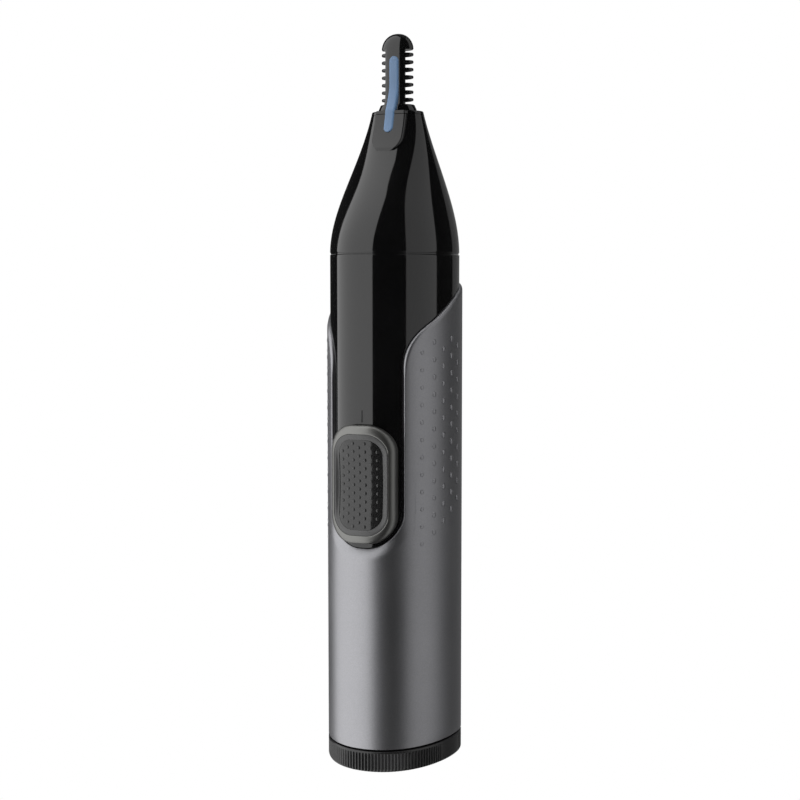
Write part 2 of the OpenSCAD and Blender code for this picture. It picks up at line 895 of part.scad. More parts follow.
module cutter_guard() {
    first_tooth_bottom = top_tooth_height - tooth_thickness / 2 - (tooth_count - 1) * tooth_pitch;
    dome_rise = total_height - dome_bottom;
    color(black) {
        difference() {
            loft([
                at_height(ellipse(collar_foot[0], collar_foot[1], guard_points), collar_bottom),
                at_height(ellipse(collar_crown[0], collar_crown[1], guard_points), collar_top)]);
            cylinder(r = guard_bore, h = far);
        }
        difference() {
            prism(ellipse(guard_half_width, guard_half_depth, guard_points), collar_top - tiny, dome_bottom);
            prism(ellipse(guard_half_width - guard_wall, guard_half_depth - guard_wall, guard_points),
                collar_top + 0.1, dome_bottom - 0.05);
            cylinder(r = guard_bore, h = collar_top + 1);
            for (side = [-1, 1]) {
                guard_slot(side, collar_top, first_tooth_bottom);
                guard_slot(side, top_tooth_height + tooth_thickness / 2, dome_bottom);
                for (i = [1 : tooth_count - 1])
                    guard_slot(side, top_tooth_height + tooth_thickness / 2 - i * tooth_pitch,
                        top_tooth_height - tooth_thickness / 2 - (i - 1) * tooth_pitch);
            }
        }
        loft([for (i = [0 : dome_rings])
            let (a = dome_last_angle * i / dome_rings, k = cos(a))
            at_height(ellipse(guard_half_width * k, guard_half_depth * k, guard_points),
                dome_bottom - tiny + dome_rise * sin(a) / sin(dome_last_angle))]);
    }
}

strip_rise = 0.3;
strip_lift = tongue_rise + 0.05;
// Side view of the guide strip's underside as [distance in front of the axis, height]
strip_path = [
    [1.85, 134], [1.85, 126.5], [2.5, collar_top], [2.85, collar_bottom + 0.25], [3.85, lip_height + 0.05],
    [head_front(lip_height - 1) + strip_lift, lip_height - 1],
    [head_front(121) + strip_lift, 121],
    [head_front(119.5) + strip_lift, 119.5]
];
module guide_strip() {
    color(blue)
        rotate([90, 0, 90])
            linear_extrude(strip_width, center = true)
                polygon(concat([for (p = strip_path) [-p[0], p[1]]],
                    [for (p = reversed(strip_path)) [-p[0] - strip_rise, p[1]]]));
}

// ---------------------------------------------------------------- cutter

spring_seat = 114.5;
spring_radius = 1.45;
flange_radius = 1.7;
flange_height = 0.8;
shaft_bottom = core_floor - 0.1;
module cutter_shaft() {
    color(steel) {
        translate([0, 0, shaft_bottom])
            cylinder(r = cutter_shaft_radius, h = cutter_bottom - shaft_bottom - tiny);
        translate([0, 0, spring_seat])
            cylinder(r = flange_radius, h = flange_height);
    }
}

module cutter_drive_end() {
    color("white")
        translate([-drive_width / 2, -drive_width / 2, drive_bottom])
            cube([drive_width, drive_width, shaft_bottom - tiny - drive_bottom]);
}

module cutter_spring() {
    color(steel)
        coil(spring_radius, spring_radius, 0.18, 7, core_floor + 2, spring_seat - tiny);
}

blade_thickness = 0.5;
module inner_cutter() {
    color(steel)
        translate([0, 0, cutter_bottom])
            linear_extrude(dome_bottom - 0.3 - cutter_bottom)
                union() {
                    circle(r = cutter_shaft_radius - running_gap);
                    for (a = [45, 135])
                        rotate(a)
                            square([2 * cutter_radius, blade_thickness], center = true);
                }
}

outer_shell();
grip_bumps();
inner_housing();
top_bulkhead();
head_seal();
shaft_seal();
chassis();
battery_tube();
motor_cradle();
motor_can();
motor_end_cap();
motor_terminals();
motor_bearing();
chassis_screws();
positive_contact();
negative_strip();
switch_terminal();
lead_wires();
motor_shaft();
drive_coupling();
switch_button();
switch_pad();
switch_slider();
switch_bridge();
battery_can();
battery_button();
battery_sleeve();
negative_contact_plate();
negative_spring();
cap_seal();
battery_cap();
head_shell();
head_ring();
head_tongue();
head_core();
cutter_bush();
cutter_guard();
guide_strip();
cutter_shaft();
cutter_drive_end();
cutter_spring();
inner_cutter();
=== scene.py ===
"""Looks of the battery nose hair trimmer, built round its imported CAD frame.

Lengths are in millimetres until a mesh is made; the floor, lights and camera are in metres. The
switch side faces -Y, +Z is up and the drive axis is x = y = 0."""
import math

import bmesh
import bpy
import numpy as np
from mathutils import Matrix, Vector


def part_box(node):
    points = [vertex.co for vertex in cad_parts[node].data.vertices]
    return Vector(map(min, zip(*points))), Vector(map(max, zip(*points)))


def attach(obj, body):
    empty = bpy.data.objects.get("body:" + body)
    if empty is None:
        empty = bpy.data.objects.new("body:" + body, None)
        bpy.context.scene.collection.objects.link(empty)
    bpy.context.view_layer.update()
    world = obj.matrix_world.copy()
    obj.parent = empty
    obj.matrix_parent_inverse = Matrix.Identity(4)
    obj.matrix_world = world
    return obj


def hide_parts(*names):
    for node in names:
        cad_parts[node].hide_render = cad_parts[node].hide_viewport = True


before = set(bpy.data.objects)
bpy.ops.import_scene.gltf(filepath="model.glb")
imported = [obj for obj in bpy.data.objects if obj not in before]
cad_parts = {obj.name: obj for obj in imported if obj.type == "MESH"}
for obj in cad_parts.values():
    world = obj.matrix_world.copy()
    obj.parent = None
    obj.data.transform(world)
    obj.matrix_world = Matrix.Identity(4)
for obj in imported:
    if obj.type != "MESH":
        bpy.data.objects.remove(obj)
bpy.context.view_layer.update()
MM = 0.001


# ------------------------ sizes taken from the frame

def node_box(name):
    """Lowest and highest corner of a CAD node, in millimetres."""
    low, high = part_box(name)
    return np.array(low) / MM, np.array(high) / MM


shell_low, shell_high = node_box("outer_shell")
cap_seal_low, cap_seal_high = node_box("cap_seal")
housing_low, housing_high = node_box("inner_housing")
head_low, head_high = node_box("head_shell")
ring_low, ring_high = node_box("head_ring")
guard_low, guard_high = node_box("cutter_guard")
button_low, button_high = node_box("switch_button")
pad_low, pad_high = node_box("switch_pad")
strip_low, strip_high = node_box("guide_strip")
tongue_low, tongue_high = node_box("head_tongue")

HALF_WIDTH = shell_high[0]
FRONT = -shell_low[1]
BACK = shell_high[1]
PANEL_INSET = HALF_WIDTH - housing_high[0]
SLEEVE_WALL = 1.1
CORE_DEPTH = 1.3  # outer face of the housing inside the sleeve, under the body's surface
CAVITY_DEPTH = 2.4  # inner face of the housing, under the same surface
SEAM = head_low[2] - 0.1  # height at which the head has the body's outline
LIP = ring_high[2]
LIP_WIDTH = ring_high[0]
LIP_DEPTH = ring_high[1]
TOP = guard_high[2]

WINDOW_WIDTH = 7.4
WINDOW_CORNER = 6.7
WINDOW_BOTTOM = 42.2
WINDOW_SHOULDER = 75.6
SLEEVE_BACK_TOP = 92.0


# ------------------------ curves and sections

def bezier(a, b, c, d, t):
    """Cubic curve from a to d with handles b and c."""
    return a * (1 - t) ** 3 + 3 * b * t * (1 - t) ** 2 + 3 * c * t * t * (1 - t) + d * t ** 3


# Handle lengths of an outline's curves: front centre, front side, back side and back centre
BODY_RATIOS = np.array([0.64, 0.494, 0.684, 0.68])
ROUND_RATIOS = np.array([0.5523] * 4)


def half_section(width, front, back, ratios, count):
    """Points from the front centre round the right to the back centre, 2 * count + 1 in all."""
    t = np.linspace(0, 1, count + 1)
    zero = np.zeros_like(t)
    fx = bezier(zero, ratios[0] * width, width, width, t)
    fy = -bezier(front, front, ratios[1] * front, zero, t)
    bx = bezier(width, width, ratios[3] * width, zero, t)
    by = bezier(zero, ratios[2] * back, back, back, t)
    return np.column_stack([np.concatenate([fx, bx[1:]]), np.concatenate([fy, by[1:]])])


def closed_section(width, front, back, ratios, count):
    """The whole outline, counter-clockwise from the front centre."""
    right = half_section(width, front, back, ratios, count)
    left = right[-2:0:-1] * [-1, 1]
    return np.concatenate([right, left])


WALL_SAMPLES = 600
SIDE_MARGIN = 2  # how far behind the axis front_y still reads the wall


class Wall:
    """The body's upright wall, addressed by the distance along it from the front centre."""

    def __init__(self):
        self.points = half_section(HALF_WIDTH, FRONT, BACK, BODY_RATIOS, WALL_SAMPLES)
        step = np.linalg.norm(np.diff(self.points, axis=0), axis=1)
        self.along = np.concatenate([[0], np.cumsum(step)])
        tangent = np.gradient(self.points, self.along, axis=0)
        tangent[0] = [1, 0]
        tangent[-1] = [-1, 0]
        tangent /= np.linalg.norm(tangent, axis=1)[:, None]
        self.normals = np.column_stack([tangent[:, 1], -tangent[:, 0]])
        self.length = self.along[-1]

    def at(self, along, depth):
        """x and y of places on the wall, a depth under its surface."""
        a = np.clip(along, 0, self.length)
        return [np.interp(a, self.along, self.points[:, i])
                - depth * np.interp(a, self.along, self.normals[:, i]) for i in (0, 1)]

    def along_at_x(self, x):
        front = self.points[:, 1] < 0
        return np.interp(x, self.points[front, 0], self.along[front])

    def along_at_y(self, y):
        return np.interp(y, self.points[:, 1], self.along)

    def front_y(self, x, rise):
        """y of the front surface raised by a distance, at a distance x from the middle."""
        raised = self.points + self.normals * rise
        front = self.points[:, 1] < SIDE_MARGIN
        return np.interp(np.abs(x), raised[front, 0], raised[front, 1])


wall = Wall()


# ------------------------ mesh helpers

WELD_DISTANCE = 0.002 * MM
SHORTEST_EDGE = 0.001 * MM


def make_object(name, parts, material, smooth_angle=50):
    """A mesh object from parts in millimetres. Edges over the angle stay sharp."""
    points = np.asarray(parts.points, float) * MM
    mesh = bpy.data.meshes.new(name)
    mesh.from_pydata([tuple(p) for p in points], [], [tuple(f) for f in parts.faces])
    work = bmesh.new()
    work.from_mesh(mesh)
    bmesh.ops.remove_doubles(work, verts=work.verts, dist=WELD_DISTANCE)
    bmesh.ops.dissolve_degenerate(work, edges=work.edges, dist=SHORTEST_EDGE)
    bmesh.ops.recalc_face_normals(work, faces=work.faces)
    work.to_mesh(mesh)
    work.free()
    mesh.materials.append(material)
    for polygon in mesh.polygons:
        polygon.use_smooth = True
    mesh.set_sharp_from_angle(angle=math.radians(smooth_angle))
    obj = bpy.data.objects.new(name, mesh)
    bpy.context.collection.objects.link(obj)
    return obj


def grid_faces(rows, columns, close_rows=False, close_columns=False, start=0):
    """Quads of a grid stored row by row."""
    faces = []
    for i in range(rows if close_rows else rows - 1):
        for j in range(columns if close_columns else columns - 1):
            a = start + i * columns + j
            b = start + i * columns + (j + 1) % columns
            c = start + ((i + 1) % rows) * columns + (j + 1) % columns
            d = start + ((i + 1) % rows) * columns + j
            faces.append((a, b, c, d))
    return faces


class MeshParts:
    """Several grids and caps gathered into one mesh."""

    def __init__(self):
        self.points = []
        self.faces = []

    def grid(self, grid, close_rows=False, close_columns=False):
        rows, columns = grid.shape[:2]
        start = len(self.points)
        self.points.extend(grid.reshape(-1, 3))
        self.faces.extend(grid_faces(rows, columns, close_rows, close_columns, start))

    def capped_rings(self, rings):
        """Stacked closed rings with a face across each end."""
        rings = np.asarray(rings)
        start = len(self.points)
        self.grid(rings, close_columns=True)
        count = rings.shape[1]
        last = start + (rings.shape[0] - 1) * count
        self.faces.append(tuple(range(start, start + count))[::-1])
        self.faces.append(tuple(range(last, last + count)))


def closed_object(name, rows, material):
    """Object from rows of points that close on themselves both ways."""
    parts = MeshParts()
    parts.grid(np.array(rows), close_rows=True, close_columns=True)
    return make_object(name, parts, material)


def capped_object(name, rings, material):
    """Object from stacked closed rings with a face across each end."""
    parts = MeshParts()
    parts.capped_rings(rings)
    return make_object(name, parts, material)


def row_at(x, y, z):
    """Points with a height, which may be one number or one for each point."""
    return np.column_stack([x, y, np.broadcast_to(z, len(x))])


def mirrored_columns(half):
    """Turns columns from front centre to back centre into closed columns round the body."""
    left = half[:, -2:0:-1].copy()
    left[..., 0] *= -1
    return np.concatenate([half, left], axis=1)


# ------------------------ materials

NOISE_SPAN = (0.3, 0.7)  # where most of a noise lies
GRAIN_DEPTH = 0.00002  # metres


def new_material(name):
    material = bpy.data.materials.new(name)
    material.use_nodes = True
    tree = material.node_tree
    shader = tree.nodes["Principled BSDF"]
    return material, tree, shader


def add_noise(tree, scale, detail=3.0, roughness=0.55, stretch=(1, 1, 1)):
    """Noise in object space, with scale in cycles per metre."""
    place = tree.nodes.new("ShaderNodeTexCoord")
    mapping = tree.nodes.new("ShaderNodeMapping")
    mapping.inputs["Scale"].default_value = stretch
    noise = tree.nodes.new("ShaderNodeTexNoise")
    noise.inputs["Scale"].default_value = scale
    noise.inputs["Detail"].default_value = detail
    noise.inputs["Roughness"].default_value = roughness
    tree.links.new(place.outputs["Object"], mapping.inputs["Vector"])
    tree.links.new(mapping.outputs["Vector"], noise.inputs["Vector"])
    return noise.outputs["Fac"]


def add_range(tree, value, low, high):
    """A noise spread between two values."""
    node = tree.nodes.new("ShaderNodeMapRange")
    node.inputs["From Min"].default_value = NOISE_SPAN[0]
    node.inputs["From Max"].default_value = NOISE_SPAN[1]
    node.inputs["To Min"].default_value = low
    node.inputs["To Max"].default_value = high
    tree.links.new(value, node.inputs["Value"])
    return node.outputs["Result"]


def add_bump(tree, shader, value, strength):
    """Fine grain from a noise."""
    node = tree.nodes.new("ShaderNodeBump")
    node.inputs["Strength"].default_value = strength
    node.inputs["Distance"].default_value = GRAIN_DEPTH
    tree.links.new(value, node.inputs["Height"])
    tree.links.new(node.outputs["Normal"], shader.inputs["Normal"])


def add_colour_mix(tree, shader, value, first, second):
    """Base colour between two colours."""
    node = tree.nodes.new("ShaderNodeMix")
    node.data_type = "RGBA"
    node.inputs["A"].default_value = (*first, 1)
    node.inputs["B"].default_value = (*second, 1)
    tree.links.new(value, node.inputs["Factor"])
    tree.links.new(node.outputs["Result"], shader.inputs["Base Color"])


def moulded(name, dark, light, rough, grain=6000, bump=0.08, metallic=0.0, coat=0.0,
            stretch=(1, 1, 1)):
    """Painted or moulded surface: two close colours, uneven gloss and a fine grain."""
    material, tree, shader = new_material(name)
    shader.inputs["Metallic"].default_value = metallic
    shader.inputs["Coat Weight"].default_value = coat
    shader.inputs["Coat Roughness"].default_value = 0.05
    broad = add_noise(tree, 90, 4, stretch=stretch)
    fine = add_noise(tree, grain, 2, stretch=stretch)
    add_colour_mix(tree, shader, add_range(tree, broad, 0, 1), dark, light)
    tree.links.new(add_range(tree, broad, rough[0], rough[1]), shader.inputs["Roughness"])
    add_bump(tree, shader, fine, bump)
    return material


def flecked_paint(name, dark, light, rough):
    """Satin metallic paint: tiny flakes that vary in colour and tilt."""
    material, tree, shader = new_material(name)
    shader.inputs["Metallic"].default_value = 1.0
    place = tree.nodes.new("ShaderNodeTexCoord")
    flakes = tree.nodes.new("ShaderNodeTexVoronoi")
    flakes.inputs["Scale"].default_value = 9000
    tree.links.new(place.outputs["Object"], flakes.inputs["Vector"])
    broad = add_noise(tree, 60, 3)
    add_colour_mix(tree, shader, flakes.outputs["Color"], dark, light)
    tree.links.new(add_range(tree, broad, rough[0], rough[1]), shader.inputs["Roughness"])
    add_bump(tree, shader, add_noise(tree, 5000, 3), 0.10)
    return material


GLOSS_BLACK = moulded("gloss_black", (0.0012, 0.0012, 0.0013), (0.002, 0.002, 0.0021),
                      (0.05, 0.09), 900, 0.015)
SLEEVE_GREY = flecked_paint("sleeve_grey", (0.235, 0.235, 0.246), (0.28, 0.28, 0.293),
                            (0.40, 0.45))
CAP_BLACK = moulded("cap_black", (0.003, 0.003, 0.0033), (0.006, 0.006, 0.0063),
                    (0.3, 0.42), 7000, 0.12)
BUTTON_GREY = moulded("button_grey", (0.145, 0.145, 0.14), (0.165, 0.165, 0.159),
                      (0.40, 0.45), 8000, 0.10, 1.0)
FACE_GREY = moulded("button_face_grey", (0.032, 0.032, 0.032), (0.038, 0.038, 0.038),
                    (0.42, 0.48), 8000, 0.12)
PAD_BLACK = moulded("pad_black", (0.006, 0.006, 0.006), (0.008, 0.008, 0.008),
                    (0.08, 0.12), 6000, 0.03)
STRIP_BLUE = moulded("strip_blue", (0.052, 0.098, 0.172), (0.06, 0.108, 0.186),
                     (0.28, 0.36), 7000, 0.08)
INNER_PLASTIC = moulded("inner_plastic", (0.55, 0.55, 0.52), (0.62, 0.62, 0.59),
                        (0.4, 0.5), 3000, 0.12)
SEAL_RUBBER = moulded("seal_rubber", (0.02, 0.02, 0.02), (0.035, 0.035, 0.035),
                      (0.55, 0.7), 5000, 0.2)
BRASS = moulded("contact_brass", (0.72, 0.52, 0.22), (0.82, 0.62, 0.30),
                (0.2, 0.32), 4000, 0.08, 1.0)
STEEL = moulded("bright_steel", (0.5, 0.5, 0.51), (0.62, 0.62, 0.63),
                (0.18, 0.3), 2500, 0.10, 1.0, stretch=(1, 1, 0.05))
BLADE_STEEL = moulded("blade_steel", (0.55, 0.56, 0.57), (0.68, 0.69, 0.70),
                      (0.16, 0.24), 3500, 0.08, 1.0)
CELL_PRINT = moulded("cell_print", (0.02, 0.09, 0.03), (0.03, 0.12, 0.04),
                     (0.2, 0.28), 3000, 0.04, coat=0.4)
LEAD_RED = moulded("lead_red", (0.38, 0.02, 0.015), (0.5, 0.03, 0.02), (0.35, 0.45), 5000, 0.08)
MARK_BLACK = moulded("tick_black", (0.002, 0.002, 0.002), (0.003, 0.003, 0.003),
                     (0.6, 0.7), 6000, 0.1)

NODE_MATERIALS = {
    "top_bulkhead": GLOSS_BLACK, "head_seal": SEAL_RUBBER, "shaft_seal": SEAL_RUBBER,
    "chassis": INNER_PLASTIC, "battery_tube": INNER_PLASTIC, "motor_cradle": INNER_PLASTIC,
    "motor_can": STEEL, "motor_end_cap": INNER_PLASTIC, "motor_terminals": BRASS,
    "motor_bearing": BRASS, "chassis_screws": STEEL, "positive_contact": BRASS,
    "negative_strip": BRASS, "switch_terminal": BRASS, "lead_wires": LEAD_RED,
    "motor_shaft": STEEL, "drive_coupling": INNER_PLASTIC, "switch_slider": INNER_PLASTIC,
    "switch_bridge": BRASS, "battery_can": STEEL, "battery_button": STEEL,
    "battery_sleeve": CELL_PRINT, "negative_contact_plate": BRASS, "negative_spring": STEEL,
    "cap_seal": SEAL_RUBBER, "head_core": INNER_PLASTIC, "cutter_bush": BRASS,
    "cutter_shaft": STEEL, "cutter_drive_end": INNER_PLASTIC, "cutter_spring": STEEL,
    "inner_cutter": BLADE_STEEL,
}
BEVELS = {
    "top_bulkhead": 0.3, "chassis": 0.15, "battery_tube": 0.2, "motor_cradle": 0.25,
    "motor_can": 0.6, "motor_end_cap": 0.25, "chassis_screws": 0.15, "drive_coupling": 0.25,
    "switch_slider": 0.2, "battery_can": 0.4, "battery_button": 0.35, "head_core": 0.2,
    "cutter_shaft": 0.15, "cutter_drive_end": 0.15, "head_seal": 0.2, "shaft_seal": 0.2,
    "cap_seal": 0.2, "negative_contact_plate": 0.08, "inner_cutter": 0.05, "motor_shaft": 0.15,
    "cutter_bush": 0.2, "motor_bearing": 0.2, "positive_contact": 0.05,
}


BEVEL_ANGLE = math.radians(40)


def dress_cad_nodes():
    """Gives each carried-over CAD node its material and softened edges."""
    for name, material in NODE_MATERIALS.items():
        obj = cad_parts[name]
        for slot in obj.material_slots:
            slot.material = material
        if name in BEVELS:
            weld = obj.modifiers.new("weld", "WELD")
            weld.merge_threshold = SHORTEST_EDGE
            bevel = obj.modifiers.new("soft_edges", "BEVEL")
            bevel.width = BEVELS[name] * MM
            bevel.segments = 3
            bevel.limit_method = "ANGLE"
            bevel.angle_limit = BEVEL_ANGLE
            bevel.harden_normals = False


# ------------------------ the sleeve's upper edge

# Two curves behind the window that meet at JOIN, as (distance in front of the axis, height)
SHOULDER_HANDLE_HEIGHT = 80.3
JOIN_APPROACH = (11.6, 82.4)
JOIN = (9.0, 83.8)
JOIN_EXIT = (4.5, 86.2)
BACK_APPROACH = (-3.0, 91.4)


def sleeve_edge(count):
    """The sleeve's edge from the window's lowest point to the back centre.

    Gives distances along the wall, heights, and the share of the edge's length covered."""
    shoulder_along = wall.along_at_x(WINDOW_WIDTH)
    angle = np.linspace(0, math.pi / 2, 60)
    flat = WINDOW_WIDTH - WINDOW_CORNER
    arc_x = np.concatenate([[0, flat / 2], flat + WINDOW_CORNER * np.sin(angle)])
    arc_z = WINDOW_BOTTOM + WINDOW_CORNER * np.concatenate([[0, 0], 1 - np.cos(angle)])
    side_z = np.linspace(arc_z[-1], WINDOW_SHOULDER, 60)[1:]
    t = np.linspace(0, 1, 80)[1:]
    shoulder_n = -np.interp(shoulder_along, wall.along, wall.points[:, 1])
    bend_n = bezier(shoulder_n, shoulder_n, JOIN_APPROACH[0], JOIN[0], t)
    bend_z = bezier(WINDOW_SHOULDER, SHOULDER_HANDLE_HEIGHT, JOIN_APPROACH[1], JOIN[1], t)
    back_n = bezier(JOIN[0], JOIN_EXIT[0], BACK_APPROACH[0], -BACK, t)
    back_z = bezier(JOIN[1], JOIN_EXIT[1], BACK_APPROACH[1], SLEEVE_BACK_TOP, t)
    along = np.concatenate([wall.along_at_x(arc_x), np.full(len(side_z), shoulder_along),
                            wall.along_at_y(-bend_n), wall.along_at_y(-back_n)])
    height = np.concatenate([arc_z, side_z, bend_z, back_z])
    along[-1] = wall.length
    step = np.hypot(np.diff(along), np.diff(height))
    covered = np.concatenate([[0], np.cumsum(step)])
    even = np.linspace(0, covered[-1], count)
    return np.interp(even, covered, along), np.interp(even, covered, height), even / covered[-1]


EDGE_COUNT = 260
EDGE_SMOOTHING = 6
edge_along, edge_height, edge_share = sleeve_edge(EDGE_COUNT)
edge_tangent = np.column_stack([np.gradient(edge_along), np.gradient(edge_height)])
for _ in range(EDGE_SMOOTHING):
    edge_tangent[1:-1] = (edge_tangent[:-2] + 2 * edge_tangent[1:-1] + edge_tangent[2:]) / 4
edge_tangent[0] = edge_tangent[-1] = [1, 0]
edge_tangent /= np.linalg.norm(edge_tangent, axis=1)[:, None]
# Points away from the window, down into the sleeve
edge_normal = np.column_stack([edge_tangent[:, 1], -edge_tangent[:, 0]])


def edge_offset(distance):
    """The edge moved into the sleeve by a distance, or into the window if it is negative."""
    along = np.clip(edge_along + edge_normal[:, 0] * distance, 0, wall.length)
    return along, edge_height + edge_normal[:, 1] * distance


def smooth_step(x):
    """Eases from 0 to 1."""
    x = np.clip(x, 0, 1)
    return x * x * (3 - 2 * x)


SCOOP_WIDTH = 1.9
SCOOP_DEPTH = 0.85
# Shares of the edge: where the scoop starts to fade, and how long that takes
SCOOP_FLAT = 0.01
SCOOP_FADE = 0.12


def scoop(distance):
    """Depth of the hollowed chamfer under the window, deepest at its lowest point."""
    fade = 1 - smooth_step((edge_share - SCOOP_FLAT) / SCOOP_FADE)
    reach = np.clip(1 - distance / SCOOP_WIDTH, 0, 1)
    return SCOOP_DEPTH * fade * reach ** 1.15


def wall_row(along, height, depth):
    """Points at distances along the wall, a depth under its surface."""
    x, y = wall.at(along, depth)
    return row_at(x, y, height)


def spread(along):
    """Places along the edge, drawn towards even spacing round the body."""
    return 0.45 * along + 0.55 * wall.length * edge_share


# Rounded rim of the sleeve: distance from the edge, and depth under the surface
RIM = [(0.0, 5 * SLEEVE_WALL), (0.0, 0.75), (0.0, 0.5), (0.03, 0.38), (0.09, 0.265),
       (0.18, 0.17), (0.29, 0.095), (0.42, 0.045), (0.56, 0.015), (0.72, 0.0), (0.9, 0.0),
       (1.15, 0.0), (1.5, 0.0), (1.9, 0.0), (2.3, 0.0)]
RIM_END = 0.8


def build_sleeve():
    """Grey sleeve: a closed shell between its shaped upper edge and the cap."""
    bottom = shell_low[2]
    # The rim is tight round the window and full above its shoulder
    size = 0.3 + 0.7 * smooth_step((edge_height - WINDOW_SHOULDER + 3) / 6)
    rows = []
    for distance, depth in RIM:
        rounding = np.where(distance < RIM_END, size, 1.0)
        along, height = edge_offset(distance * rounding)
        sunk = depth * rounding + scoop(distance * rounding)
        rows.append(wall_row(along, height, np.minimum(sunk, SLEEVE_WALL)))
    start_along, start_height = edge_offset(RIM[-1][0])
    end_along = spread(start_along)
    for share in np.linspace(0, 1, 60)[1:]:
        eased = share * (0.55 + 0.45 * share)
        along = start_along + (end_along - start_along) * eased
        rows.append(wall_row(along, start_height + (bottom + 0.15 - start_height) * eased, 0.0))
    for lift, depth in [(0.06, 0.03), (0.01, 0.12), (0.0, 0.25), (0.0, SLEEVE_WALL)]:
        rows.append(wall_row(end_along, bottom + lift, depth))
    top_along, top_height = edge_offset(0.0)
    for share in np.linspace(0, 1, 26)[1:-1]:
        along = end_along + (top_along - end_along) * share
        rows.append(wall_row(along, bottom + (top_height - bottom) * share, SLEEVE_WALL))
    return closed_object("sleeve", mirrored_columns(np.array(rows)), SLEEVE_GREY)


def build_housing():
    """Gloss black housing: the panel and upper band that show, and the core inside the sleeve."""
    top = housing_high[2]
    bottom = housing_low[2]
    window_share = np.interp(WINDOW_SHOULDER, edge_height, edge_share)
    window_along = wall.along_at_x(WINDOW_WIDTH)
    top_along = np.where(
        edge_share < window_share,
        window_along * (edge_share / window_share) ** 1.15,
        window_along
        + (wall.length - window_along) * (edge_share - window_share) / (1 - window_share))
    low_along = spread(edge_along)
    rows = []
    for share in np.linspace(0, 1, 26):
        along = low_along + (edge_along - low_along) * share
        rows.append(wall_row(along, bottom + (edge_height - 0.3 - bottom) * share, CORE_DEPTH))
    foot = [(-0.06, CORE_DEPTH), (-0.06, 0.75), (-0.07, PANEL_INSET + 0.12),
            (-0.12, PANEL_INSET + 0.03), (-0.22, PANEL_INSET)]
    for distance, depth in foot:
        along, height = edge_offset(distance)
        rows.append(wall_row(along, height, depth))
    start_along, start_height = edge_offset(foot[-1][0])
    for share in np.linspace(0, 1, 70)[1:]:
        along = start_along + (top_along - start_along) * share
        height = start_height + (top - 0.12 - start_height) * share
        rows.append(wall_row(along, height, PANEL_INSET))
    for lift, depth in [(0.04, 0.03), (0.01, 0.1), (0.0, 0.2), (0.0, CAVITY_DEPTH - PANEL_INSET)]:
        rows.append(wall_row(top_along, top - lift, PANEL_INSET + depth))
    for share in np.linspace(0, 1, 24)[1:]:
        along = top_along + (low_along - top_along) * share
        rows.append(wall_row(along, top + (bottom - top) * share, CAVITY_DEPTH))
    return closed_object("housing", mirrored_columns(np.array(rows)), GLOSS_BLACK)


# ------------------------ grip bumps

DOME_FOOT = 0.25


def dome(centre, normal, up, radius, height, rings=5, segments=20):
    """Grid of a low dome on a surface, sunk a little at its foot."""
    side = np.cross(up, normal)
    rows = []
    for i in range(rings + 1):
        a = math.pi / 2 * i / rings
        r = radius * math.cos(a)
        h = height * math.sin(a)
        ring = [centre + normal * h + side * (r * math.cos(b)) + up * (r * math.sin(b))
                for b in np.linspace(0, 2 * math.pi, segments, endpoint=False)]
        rows.append(ring)
    foot = [p - normal * DOME_FOOT for p in rows[0]]
    return np.array([foot] + rows)


# Place on the front quarter of the outline, and number of bumps, for each column
BUMP_COLUMNS = ((0.534, 12), (0.663, 12), (0.778, 11), (0.888, 11), (0.993, 10))
BUMP_START = 42.8
BUMP_STEP = 1.85
BUMP_PITCH = 3.24
LARGEST_FROM = 3  # the columns from here back have the largest bumps
QUARTER_SAMPLES = 1000


def build_bumps():
    """Rows of small moulded bumps on both sides of the sleeve, larger towards the back."""
    outline = half_section(HALF_WIDTH, FRONT, BACK, BODY_RATIOS, QUARTER_SAMPLES)
    quarter = outline[:QUARTER_SAMPLES + 1]
    up = np.array([0, 0, 1.0])
    parts = MeshParts()
    for column, (t, count) in enumerate(BUMP_COLUMNS):
        i = round(QUARTER_SAMPLES * t)
        x, y = quarter[i]
        tangent = quarter[i + 1] - quarter[i - 1]
        tangent /= np.linalg.norm(tangent)
        growth = min(column, LARGEST_FROM)
        for row in range(count):
            z = BUMP_START + BUMP_STEP * column + BUMP_PITCH * row
            for side in (1, -1):
                normal = np.array([side * tangent[1], -tangent[0], 0])
                bump = dome(np.array([side * x, y, z]), normal, up, 0.42 + 0.07 * growth,
                            0.09 + 0.04 * growth)
                parts.grid(bump, close_columns=True)
    return make_object("grip_bump_rows", parts, SLEEVE_GREY, 80)


# ------------------------ battery cap

RIB_COUNT = 128
RIB_DEPTH = 0.2
RIB_REACH = 17.3  # distance round from the front or back centre that the ribs cover
SAMPLES_PER_RIB = 8
CAP_GAP = 0.3
RING_COUNT = 96


